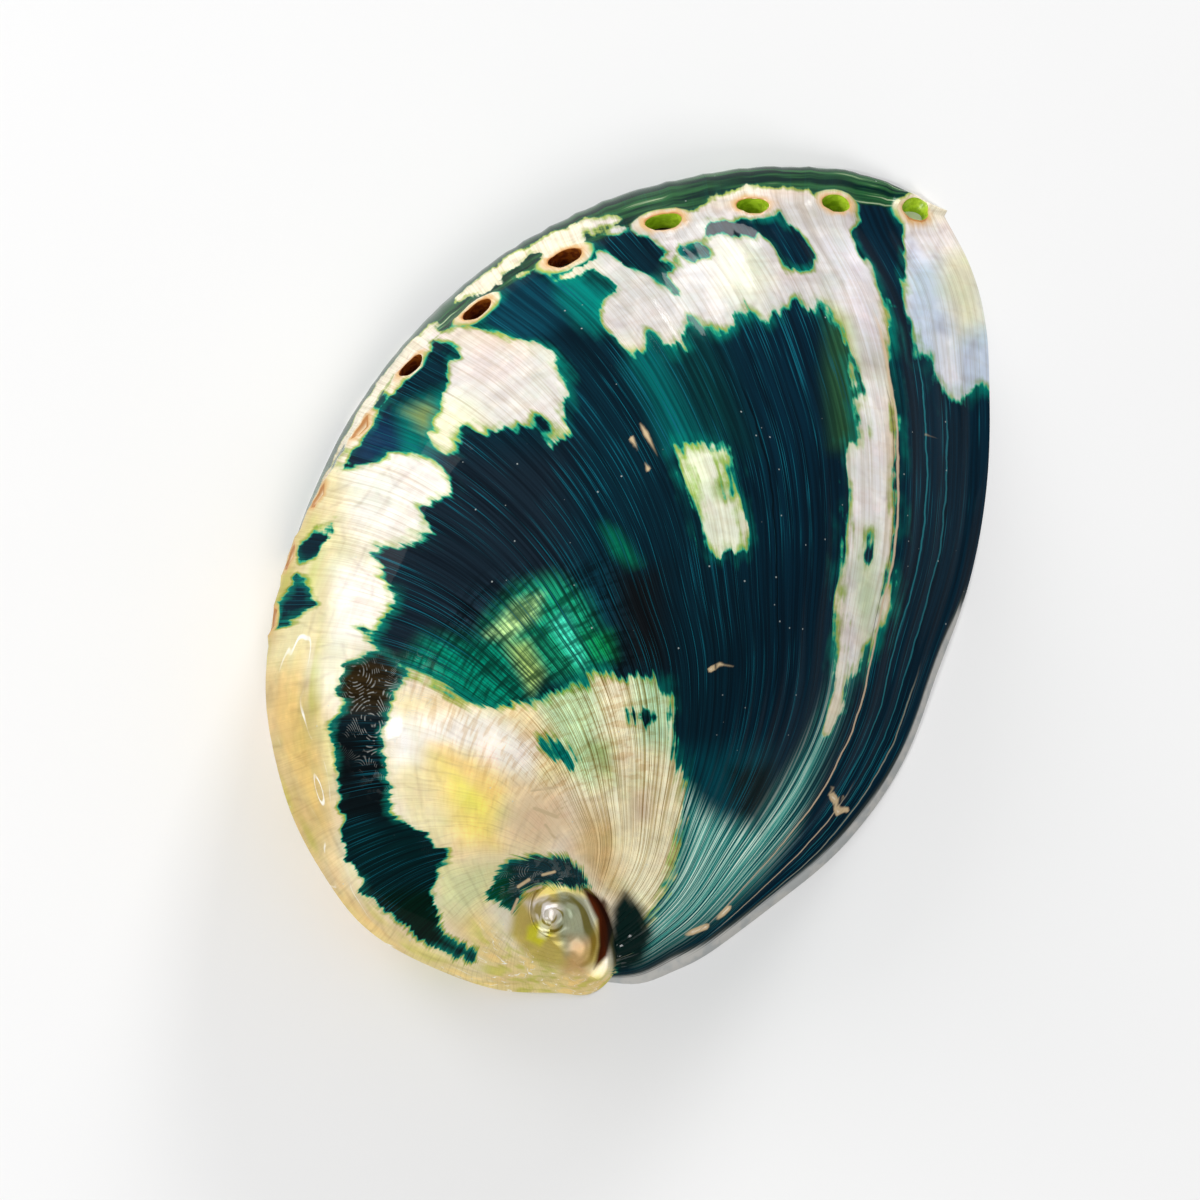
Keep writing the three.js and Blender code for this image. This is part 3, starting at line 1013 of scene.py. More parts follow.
MARKINGS = (
    # Clear windows and margins.
    Patch(Mark.WINDOW, (
        (-60, 2), (-52, 3), (-50, 8), (-47.5, 6), (-45.5, 10.5), (-43.6, 9.5), (-42, 13),
        (-40, 15.5), (-36.5, 16), (-34.5, 17.5), (-30, 18), (-28, 19.5), (-25, 19.5),
        (-22, 18.5), (-20.5, 16), (-20, 14), (-22, 13), (-23.5, 12), (-23.5, 10), (-23, 8),
        (-25, 7.5), (-28, 7), (-30.5, 6.5), (-29, 5), (-28, 2.5), (-27.5, 0), (-28.5, -2),
        (-30, -3.5), (-32.5, -3), (-31, -5), (-29.5, -7), (-27, -8.5), (-24.5, -9.5),
        (-22, -10.5), (-19, -12.5), (-16, -14), (-12.5, -14), (-9, -13.5), (-6, -13),
        (-4, -11.5), (-1, -10), (4, -10), (7, -10.5), (9, -13), (9.3, -17), (9.5, -20),
        (10.8, -24), (11.2, -29), (10.8, -33), (9.5, -37), (7.5, -41), (5, -45), (3.5, -48),
        (2, -49), (2, -62), (-60, -62),
    )),
    Patch(Mark.BLOT, (
        (-29, -6), (-33.5, -8), (-35, -11.5), (-33.5, -14), (-36, -17), (-35, -19), (-34.5, -25),
        (-34, -28), (-34, -31), (-33, -35), (-31, -37), (-32, -38.5), (-29.5, -40), (-25, -44),
        (-23.5, -45.5), (-19.5, -47.3), (-16.5, -48), (-16.8, -46.3), (-19, -45), (-21, -43.5),
        (-21.5, -41), (-22, -38), (-21, -35.5), (-19.5, -34.5), (-20.5, -33), (-22.5, -31),
        (-25.5, -29), (-27.3, -28.5), (-27.6, -25), (-28.2, -21), (-28.6, -17.5), (-27.0, -12.5),
        (-25, -9.5), (-27, -7),
    )),
    Patch(Mark.WINDOW, (
        (-22, 35.8), (-18, 36.7), (-15, 36.2), (-12, 35), (-9, 34.2), (-7, 32.7), (-5.3, 30.5),
        (-4.6, 28), (-4.7, 25), (-4.5, 22), (-5.5, 21), (-7, 22.3), (-8, 24), (-10, 23.5),
        (-12, 22.7), (-14, 22), (-16, 22), (-17.5, 22.7), (-19, 22), (-20, 20), (-21, 19.5),
        (-22, 21), (-22.5, 23.5), (-21, 26), (-20.5, 28), (-20, 30), (-19.8, 32), (-18.5, 32.5),
        (-19, 34), (-22, 34.8),
    )),
    Patch(Mark.WINDOW, (
        (-7, 43.5), (-4, 44), (-1, 45.5), (0, 48), (-1.5, 49.5), (2, 50.3), (7, 50), (12, 52),
        (15, 54), (17, 56), (21, 57), (25, 57), (28, 55.5), (31, 55), (35, 53.5), (35.5, 51),
        (34, 49.5), (35, 47), (36.5, 45.5), (37.5, 43), (38.2, 40), (38.7, 37), (38.8, 34),
        (38.9, 30), (39.6, 27), (39.5, 15), (39.2, 5), (38.4, -1), (37, -5), (35, -8.5),
        (33, -11), (32, -14.5), (30.5, -18), (29.6, -17), (30.8, -12), (31.8, -6), (31.8, 0),
        (32.3, 5), (32.8, 10), (33, 15), (33, 20.3), (35, 21), (34.8, 26), (34.4, 31),
        (33.4, 34), (32.5, 36), (31, 38), (29.5, 39.7), (28, 40.2), (26.5, 40.8), (25.5, 39.5),
        (24, 38.8), (22, 37.5), (20.5, 38), (19, 38.3), (18.2, 39), (17.5, 37), (16.5, 35.5),
        (14.5, 37), (12.5, 38), (11.5, 38), (11, 36), (10.5, 33.2), (8.5, 34), (7, 35.2),
        (6, 35), (4.8, 32.6), (3.5, 33.8), (2, 35.2), (0.3, 36.5), (0, 38.5), (1, 40.5),
        (2.3, 41.5), (1.5, 43), (-1, 44), (-4, 43.2), (-6, 42.5),
    )),
    Patch(Mark.WINDOW, (
        (41.6, 53), (41.3, 47), (41, 43), (41, 39.5), (42.2, 36.5), (43, 33.5), (44.5, 32.5),
        (45, 30.5), (46.5, 28.8), (48, 27), (49, 26.8), (50, 28), (51.5, 29.5), (53, 29.5),
        (60, 29), (62, 47), (58, 58), (46, 64), (43.5, 57),
    )),
    Patch(Mark.WINDOW, (
        (10.5, 20.3), (12, 20.5), (14, 20.3), (15, 21), (16.3, 20), (16.7, 18), (17, 15.5),
        (17, 13.8), (18, 13), (18.5, 11), (19, 8.5), (18.8, 6.7), (17, 6.5), (15.3, 6),
        (14.3, 7), (13.5, 9), (13, 12), (12.2, 14), (11.3, 16.5), (10.7, 18.5),
    )),
    # Cream strip along the keel, and the wall's clear patches.
    Patch(Mark.WINDOW, (
        (-36.5, 16), (-41.5, 14.5), (-41, 18), (-38.8, 19.5), (-38.6, 22.5), (-36.6, 24.5),
        (-36.4, 27.5), (-33.8, 29.5), (-33, 32), (-30.4, 33.6), (-29.4, 36.6), (-26, 38.2),
        (-23.5, 38.2), (-21.5, 36), (-22.8, 33.5), (-24, 31), (-27, 28.3), (-28.7, 26.7),
        (-30, 24), (-31.5, 21.8), (-33.8, 18.8), (-34.5, 17),
    )),
    Patch(Mark.WINDOW, (
        (-20.5, 41.2), (-21.8, 43.2), (-18, 45.6), (-14.5, 47.6), (-10.5, 50), (-6, 51.8),
        (-2, 52.8), (1, 52.6),
        (2.8, 51.6), (2, 50.6), (-1.8, 49.8), (-1.8, 48.8), (-2.5, 46.8), (-4, 45.2), (-7, 44),
        (-9.5, 43.8), (-12.5, 43), (-14.5, 42), (-16, 41.2),
    )),
    Patch(Mark.BLOT, (
        (-8, 46.6), (-10.5, 46.3), (-13, 44.2), (-14, 42.8), (-11.5, 43.2), (-10, 44), (-8.3, 45.4),
    )),
    # Blots over the pearl band.
    Patch(Mark.BLOT, (
        (-1.5, 48.5), (1, 49.2), (4, 49.3), (7, 48.3), (8.5, 46.5), (8, 45.3), (10, 45),
        (9.8, 44), (8.5, 43.5), (9.5, 42.5), (10.5, 41), (8.5, 42), (7, 43), (5, 43.8),
        (3, 45), (1.5, 46.5), (0, 47.5),
    )),
    Patch(Mark.BLOT, (
        (10.3, 47.3), (12, 48), (14, 47.8), (15, 46.5), (14, 45.5), (12, 45.3), (10.5, 46),
    )),
    Patch(Mark.BLOT, (
        (13.5, 51.5), (16, 51), (18.5, 51.4), (21, 51.8), (24, 52.5), (25, 51.5), (25.5, 50.5),
        (27, 49.5), (28, 48), (29, 46.5), (28.5, 44.8), (26.5, 44.5), (25, 45), (24, 46.5),
        (23, 48), (21.5, 49), (20, 48.7), (18.5, 48.5), (16.5, 49.3), (14, 48.5), (14, 50),
    )),
    Patch(Mark.BLOT, ((-22.6, 34.2), (-21, 34.6), (-19, 34), (-18.4, 33), (-20, 32.8), (-22, 33.4))),
    Patch(Mark.BLOT, ((35.5, 9), (36.2, 9), (36.5, 6), (36, 4.8), (35.2, 6))),
    # Tufts on the left margin.
    Patch(Mark.BLOT, ((-38, 9.2), (-36.5, 10), (-35, 10.6), (-36, 9.3))),
    Patch(Mark.BLOT, (
        (-40.2, 7.3), (-38.5, 8.5), (-35.5, 8.8), (-36.5, 7.5), (-38, 5.5), (-39.7, 4.5),
    )),
    Patch(Mark.BLOT, (
        (-43.4, -3.9), (-43.8, -1), (-41.5, 1), (-40.5, 3.2), (-39, 2.6), (-38, 1.2),
        (-37.5, -1), (-40, -2.3),
    )),
    Patch(Mark.BLOT, ((-36.5, 17.6), (-35.8, 21), (-34, 22.4), (-34.5, 20), (-35.6, 18))),
    Patch(Mark.BLOT, ((-30.2, 25.8), (-29, 28.5), (-28, 29.8), (-28.4, 28), (-29, 26.3))),
    # Blots in the fan and round the spire.
    Patch(Mark.BLOT, ((-8, -17.5), (-6, -18.5), (-3, -21), (-3.5, -22.3), (-6, -21), (-7.5, -19.3))),
    Patch(Mark.BLOT, ((3.8, -14.6), (6, -14.5), (8, -15.3), (6, -16.2), (4.2, -15.6))),
    Patch(Mark.BLOT, (
        (-14, -36.5), (-12, -34.2), (-8.5, -33.7), (-5, -33.8), (-2.5, -35.5), (-1.2, -38),
        (-4, -38.3), (-7, -37.5), (-10, -38.5), (-11.5, -41.3), (-13.5, -40), (-15.3, -39.5),
        (-14.5, -38),
    )),
)

TINTS = (
    # Clear layer: cream by default, then each region's own tint; one near-white patch is a painted
    # highlight.
    Patch(Mark.PALE, ((-50, -60), (-50, 30), (-36, 20), (-35, 8), (-37, -5), (-36, -20),
                      (-34, -36), (-24, -46), (-10, -60)), (0.66, 0.50, 0.24), 4.0),
    Patch(Mark.PALE, ((-44, -8), (-40, 6), (-37, 18), (-33, 18), (-35, 4), (-38, -10)),
          (0.80, 0.74, 0.44), 3.0, 0.9),
    Patch(Mark.PALE, ((-34, 19), (-24, 21), (-18, 15), (-22, 8), (-30, 7), (-33, 10)),
          (0.86, 0.84, 0.77), 2.5),
    Patch(Mark.PALE, ((-35, 4.5), (-29.5, 4.5), (-26, 0), (-29, -4), (-35, -6)),
          (1.0, 0.97, 0.88), 2.0),
    Patch(Mark.PALE, ((-38, -8), (-33, -7), (-33, -14.5), (-36.5, -15)), (1.0, 0.93, 0.74), 2.0),
    Patch(Mark.PALE, ((-37.5, -16), (-35, -17), (-34, -22), (-36, -24)), (0.90, 0.84, 0.45), 1.5),
    Patch(Mark.PALE, ((-42, -14), (-37, -14), (-35.5, -30), (-38, -33)), (0.60, 0.46, 0.18), 3.0),
    # Window by the seventh pore.
    Patch(Mark.PALE, ((-24, 37), (-10, 36), (-3, 30), (-4, 20), (-14, 21), (-22, 25)),
          (0.73, 0.70, 0.66), 2.0),
    Patch(Mark.PALE, ((-22, 38), (-8, 35.5), (-9, 33), (-19, 34)), (0.78, 0.68, 0.56), 1.5, 0.8),
    Patch(Mark.PALE, ((-23, 27), (-17, 26.5), (-13, 21), (-19, 19), (-23, 20)),
          (0.84, 0.84, 0.60), 2.0, 0.8),
    # Pearl band, vertical band and the patch at the tip.
    Patch(Mark.PALE, ((-2, 52), (14, 54), (30, 56), (40, 52), (39, 30), (34, 30), (30, 38),
                      (12, 34), (0, 34)), (0.61, 0.59, 0.58), 3.0),
    Patch(Mark.PALE, ((15, 48), (20, 47.5), (23, 43), (21, 39), (16, 41)), (0.80, 0.82, 0.66),
          2.0, 0.8),
    Patch(Mark.PALE, ((30, 49), (35, 49), (38, 34), (34.5, 34)), (0.76, 0.73, 0.78), 2.0),
    Patch(Mark.PALE, ((30.5, 40), (33.5, 38), (34.8, 30), (34.4, 19.5), (30, 20), (29, 34)),
          (0.58, 0.64, 0.30), 1.5),
    Patch(Mark.PALE, ((34.5, 30), (38.7, 30), (39, 12), (38, -4), (32, -12), (32.5, 14)),
          (0.84, 0.82, 0.81), 1.5),
    Patch(Mark.PALE, ((37.7, 45), (38.4, 45), (40, 28), (40, 5), (38.7, -3), (38.2, -3),
                      (38.9, 8), (39, 27)), (0.70, 0.54, 0.36), 0.6),
    Patch(Mark.PALE, ((34.6, 10), (37, 10), (37.2, 0), (35, -8), (34, 0)), (0.62, 0.70, 0.44),
          1.5, 0.8),
    Patch(Mark.PALE, ((41, 50), (60, 50), (60, 27), (41, 27)), (0.55, 0.63, 0.76), 2.0),
    Patch(Mark.PALE, ((46, 50), (52, 49), (53, 38), (49, 36), (46.5, 42)), (0.76, 0.72, 0.48),
          2.5, 0.85),
    Patch(Mark.PALE, ((41, 52), (48, 52), (49.5, 48), (44, 46.5)), (0.86, 0.78, 0.78), 1.5, 0.8),
    Patch(Mark.PALE, ((45.5, 36), (48.5, 36), (49, 29), (46.5, 29)), (0.82, 0.82, 0.84), 1.5, 0.8),
    Patch(Mark.PALE, ((10, 22), (17, 22), (20, 5), (12, 5)), (0.80, 0.84, 0.68), 1.0),
    Patch(Mark.PALE, ((10, 21.5), (13.5, 21), (14.5, 15), (12, 13)), (0.78, 0.90, 0.62), 1.2, 0.7),
    Patch(Mark.PALE, ((14.8, 15.2), (17, 15.5), (17, 13.2), (15, 13.4)), (0.30, 0.45, 0.12),
          0.8, 0.8),
    # Fan, gold heart and the shell's lower end.
    Patch(Mark.PALE, ((-9, -9), (10, -9), (12, -30), (6, -46), (-2, -30), (-6, -20)),
          (1.0, 0.95, 0.68), 2.0),
    Patch(Mark.PALE, ((-10, -12), (-1, -9), (0, -16), (-1, -24), (-5, -22)), (0.60, 0.95, 0.58),
          2.0, 0.8),
    Patch(Mark.PALE, ((4, -9), (9, -10), (9.5, -20), (5.5, -19)), (0.50, 0.88, 0.60), 2.0, 0.8),
    Patch(Mark.PALE, ((-2, -18.5), (1.5, -18.5), (2, -24), (0, -23)), (0.30, 0.46, 0.12), 1.5, 0.8),
    Patch(Mark.PALE, ((4, -25), (6.5, -25), (6.8, -29), (4.5, -29.5)), (0.72, 0.56, 0.42), 1.2, 0.7),
    Patch(Mark.PALE, ((-2, -27), (2, -30), (3, -40), (0, -38), (-4, -33)), (0.74, 0.52, 0.22),
          2.0, 0.8),
    Patch(Mark.PALE, ((-27, -12), (-9, -13), (-4, -22), (-8, -34), (-22, -35), (-28, -22)),
          (0.92, 0.78, 0.46), 2.0),
    Patch(Mark.PALE, ((-24, -15), (-15, -14.5), (-8, -19), (-9, -23.5), (-14, -21.5), (-24, -19)),
          (1.0, 0.94, 0.84), 1.8),
    Patch(Mark.PALE, ((-22, -20), (-17, -20.5), (-12.5, -25), (-13.5, -32.5), (-18, -32),
                      (-21, -26)), (1.0, 0.80, 0.22), 2.5),
    Patch(Mark.PALE, ((-19, -22.5), (-14.5, -25.5), (-15.5, -28), (-19, -26)), (1.0, 0.88, 0.17),
          1.5),
    Patch(Mark.PALE, ((-22.5, -18.8), (-20, -18.8), (-13, -25.2), (-14.2, -27)),
          (1.0, 0.70, 0.26), 1.0, 0.7),
    # Pale window brightened to near white as a painted highlight, where the glare lamp's highlight
    # falls.
    Patch(Mark.PALE, ((-28, -15), (-24, -16), (-24, -21), (-27, -22)), (1.0, 0.97, 0.92), 2.0),
    Patch(Mark.PALE, ((-11, -24), (-6, -24), (-2, -30), (-8, -33.5), (-13, -31)),
          (0.78, 0.60, 0.38), 2.0, 0.9),
    Patch(Mark.PALE, ((-22, -34.5), (-13, -34.5), (-15, -41), (-12, -46), (4, -50), (2, -62),
                      (-22, -60), (-33, -41), (-24, -45), (-16, -49), (-20, -43)),
          (0.80, 0.66, 0.31), 2.0),
    Patch(Mark.PALE, ((-21, -35), (-14, -35), (-15.5, -40), (-19, -43), (-21.3, -41)),
          (0.76, 0.74, 0.42), 1.5),
    # Spire.
    Patch(Mark.PALE, ((-11, -38.5), (-7, -37.4), (-2, -38.3), (1, -41), (1.5, -44.5), (0, -48.5),
                      (-4, -49.5), (-9, -48), (-12, -44.5)), (0.56, 0.45, 0.12), 0.8),
    Patch(Mark.PALE, ((-5.5, -38.6), (-1, -39.5), (0, -42), (-1.5, -46), (-4.5, -47.5),
                      (-6, -43)), (0.34, 0.36, 0.24), 0.8),
    Patch(Mark.PALE, ((-2.4, -38.0), (0.8, -40.0), (1.9, -44), (1, -47.5), (-0.8, -49.2),
                      (-0.2, -46), (-0.4, -42.5), (-1.6, -40)), (0.045, 0.008, 0.001), 0.4),
    Patch(Mark.PALE, ((-9.8, -40), (-7, -39.5), (-5, -41), (-5.5, -42.5), (-8, -43)),
          (0.82, 0.76, 0.70), 0.8),
    Patch(Mark.PALE, ((-9.6, -43.3), (-7.6, -42.5), (-6.4, -44.3), (-8, -46), (-9.8, -45)),
          (0.66, 0.62, 0.04), 0.5),
    Patch(Mark.PALE, ((-8, -42.8), (-6.5, -43), (-7.2, -45), (-8.2, -44.7)), (0.85, 0.82, 0.50),
          0.4),
    Patch(Mark.PALE, ((-4, -45), (-1, -45), (-2, -50), (-5, -50)), (0.55, 0.34, 0.16), 1.2, 0.8),
    # Dark layer: navy by default.
    Patch(Mark.DARK, ((20, 60), (60, 60), (60, -50), (14, -40), (20, 0)), (0.0005, 0.018, 0.036),
          6.0),
    Patch(Mark.DARK, ((-34, 20), (-4, 20), (-4, 0), (-10, -8), (-28, -12), (-34, 0)),
          (0.007, 0.017, 0.028), 4.0),
    Patch(Mark.DARK, ((-36, -6), (-26, -8), (-26, -15), (-34, -15)), (0.030, 0.018, 0.005), 2.0),
    Patch(Mark.DARK, ((-37, -16), (-27, -16), (-27, -30), (-35, -30)), (0.002, 0.006, 0.008), 2.0),
    Patch(Mark.DARK, ((-35, -29), (-19, -29), (-20, -37), (-33, -38)), (0.0, 0.014, 0.016), 2.0),
    Patch(Mark.DARK, ((-32, -38), (-20, -37), (-16, -48), (-24, -46)), (0.0, 0.012, 0.006), 2.0),
    Patch(Mark.DARK, ((5, 34), (8, 32), (12, 24), (14, 21), (9, 20), (7, 26), (4, 31)),
          (0.0, 0.16, 0.15), 2.5, 0.9),
    Patch(Mark.DARK, ((11, 37), (14, 36), (20, 20), (14, 22), (10, 30)), (0.001, 0.045, 0.045),
          3.0, 0.8),
    Patch(Mark.DARK, ((-13.5, 43.5), (-6, 43), (-4, 37), (-10, 34), (-15, 37)),
          (0.002, 0.05, 0.08), 1.5),
    Patch(Mark.DARK, ((-6, 43.5), (2, 43.5), (1, 38), (0, 35.5), (-3, 37), (-5.5, 40)),
          (0.0, 0.20, 0.17), 1.5),
    Patch(Mark.DARK, ((-1, 46), (3, 44), (2, 41), (-2, 43)), (0.001, 0.04, 0.04), 1.0),
    Patch(Mark.DARK, ((-33, 25), (-25, 24), (-21, 19), (-32, 18)), (0.006, 0.035, 0.085), 2.0),
    Patch(Mark.DARK, ((-27, 25.5), (-20.5, 28), (-20.5, 20), (-26, 20)), (0.0, 0.20, 0.16), 1.5),
    Patch(Mark.DARK, ((-26, 25.5), (-23, 26), (-20.5, 24.5), (-23, 22)), (0.30, 0.36, 0.10), 1.0, 0.8),
    Patch(Mark.DARK, ((-23, -5), (-13, -5), (-8, -12), (-13, -15), (-20, -12.5), (-26, -8.5)),
          (0.0, 0.17, 0.11), 2.0),
    Patch(Mark.DARK, ((-15, -3), (-11, 1.5), (-6, 3), (-2, 0), (1, -8), (-3, -10), (-7, -10),
                      (-12, -7)), (0.006, 0.24, 0.13), 2.0),
    Patch(Mark.DARK, ((-14.5, -4.5), (-11, -0.5), (-8, 0.5), (-8.5, -2), (-12, -5)),
          (0.44, 0.66, 0.26), 1.2, 0.9),
    Patch(Mark.DARK, ((-6.5, -3), (-4.5, -1), (-3, -5), (-1.5, -9), (-3.5, -8)),
          (0.05, 0.60, 0.42), 0.8, 0.9),
    Patch(Mark.DARK, ((-12, -6), (-9.5, -5.5), (-7.5, -9.5), (-9, -12)), (0.36, 0.50, 0.14), 1.2,
          0.8),
    Patch(Mark.DARK, ((0.3, 10), (2.3, 9), (5.4, 4.6), (4, 4.3), (1.6, 6.5)), (0.0, 0.17, 0.09), 1.0),
    Patch(Mark.DARK, ((-2, -4.5), (1.5, -4.5), (2, -7.5), (-1, -8)), (0.002, 0.20, 0.06), 1.5),
    Patch(Mark.DARK, ((2, 4), (8, 4), (9, -9), (3, -9)), (0.004, 0.006, 0.008), 2.5),
    Patch(Mark.DARK, ((30.5, 38), (34, 37), (34.9, 30), (34.6, 20), (31, 20.5), (30.2, 30)),
          (0.035, 0.13, 0.045), 1.8, 0.8),
    Patch(Mark.DARK, ((-9, -16), (-3, -18), (-2, -23), (-8, -22)), (0.0, 0.12, 0.11), 2.0),
    Patch(Mark.DARK, ((12, -20), (22, -20), (22, -30), (13, -31)), (0.0, 0.055, 0.075), 3.0),
    Patch(Mark.DARK, ((17, -22), (23, -22), (22.5, -27), (19, -30), (17.5, -28)),
          (0.0, 0.012, 0.014), 1.5),
    Patch(Mark.DARK, ((-16, -32), (0, -31.5), (0, -39), (-3, -40), (-16, -41)),
          (0.006, 0.028, 0.030), 1.5),
    Patch(Mark.DARK, ((-17, -37), (-12, -36), (-12, -42), (-16, -42)), (0.0, 0.07, 0.022), 1.5),
)


# Strokes as start, end and width: tubeworm marks, with painted highlights round the spire.
WORM_MARKS_AND_SPIRE_HIGHLIGHTS = (
    ((4.0, 21.2), (5.0, 18.8), 0.45), ((5.0, 18.8), (6.2, 17.2), 0.35),
    ((5.4, 23.5), (7.6, 18.5), 0.15), ((14.4, -9.2), (15.6, -8.6), 0.4),
    ((15.6, -8.6), (17.4, -8.9), 0.2), ((31.6, -22.6), (33.4, -23.6), 0.3),
    ((30.9, -25.4), (32.0, -28.4), 0.55), ((32.4, -26.5), (33.2, -28.2), 0.35),
    ((11.8, -44.6), (14.4, -43.6), 0.5), ((16.0, -42.4), (17.2, -41.2), 0.45),
    ((-9.0, -25.0), (-5.4, -24.6), 0.2), ((-8.6, -27.4), (-5.6, -28.6), 0.3),
    ((-5.4, -28.2), (-4.0, -25.6), 0.15), ((43.8, 22.6), (46.2, 22.0), 0.25),
    # The last five strokes, round the spire and just above it, are painted highlights, not tubeworm
    # marks.
    ((-10.8, -37.9), (-9.4, -37.0), 0.25), ((-7.6, -36.4), (-6.0, -36.0), 0.2),
    ((-9.6, -38.6), (-7.8, -38.0), 0.2), ((-11.7, -41.4), (-10.9, -39.6), 0.2),
    ((-7.2, -29.6), (-6.0, -31.4), 0.2),
)

# The end of the shell where windows have smooth edges.
CALM_END = Patch(Mark.PALE, (
    (-60, 8), (-37, 8), (-30, -4), (-20, -14), (-10, -14), (-2, -28), (4, -40), (4, -60),
    (-60, -60),
))
# The smooth pale margin along the keel and round the spire, where soft streaks and painted glints show.
SMOOTH_MARGIN = Patch(Mark.PALE, (
    (-60, 24), (-39, 22), (-37, 8), (-37.5, -4), (-36.5, -16), (-35, -28), (-32.5, -38),
    (-24, -46), (-16, -49), (-17, -42), (-12, -45), (-5, -49.5), (3, -50), (4, -62), (-60, -62),
))
# Pale streaks that fan out of the root of the lip.
LIP_ROOT = Patch(Mark.PALE, (
    (11, -25), (14, -28), (17, -29.5), (21, -30), (24, -25.5), (27.5, -20), (30, -15), (32, -9),
    (33.3, -9), (31.5, -16), (28.8, -23), (25.5, -31), (21, -37), (16, -41.5), (11, -44.8),
    (5, -48), (5, -45), (7.5, -41), (9.5, -37), (10.8, -33),
))
# The dark smear beside the spire.
DARK_SMEAR = Patch(Mark.PALE, (
    (1.8, -41), (3.3, -38.6), (5.6, -41), (7, -44.5), (5.5, -48.5), (2, -49.5), (1.3, -46),
))
# Where the growth lines fan out.
FAN = Patch(Mark.PALE, (
    (-9, -8), (10, -8), (13, -30), (6, -48), (-1, -36), (-5, -26), (-10, -22),
))
# Where cross lines show.
LATTICE = Patch(Mark.PALE, (
    (-27, -9), (-16, 2), (-6, 4), (2, 6), (4, -6), (9, -12), (7, -24), (-6, -26), (-14, -24),
    (-23, -16),
))
# Scratches round the dark band.
SCRATCHED = Patch(Mark.PALE, (
    (-34, -8), (-23, -9), (-21, -13), (-26, -18), (-29, -24), (-33, -17),
))
# Scratches on the tuft over the spire.
SCRATCHED_TUFT = Patch(Mark.PALE, (
    (-13, -37.5), (-8, -34.5), (-3, -35.5), (-4, -38), (-10, -39.5),
))


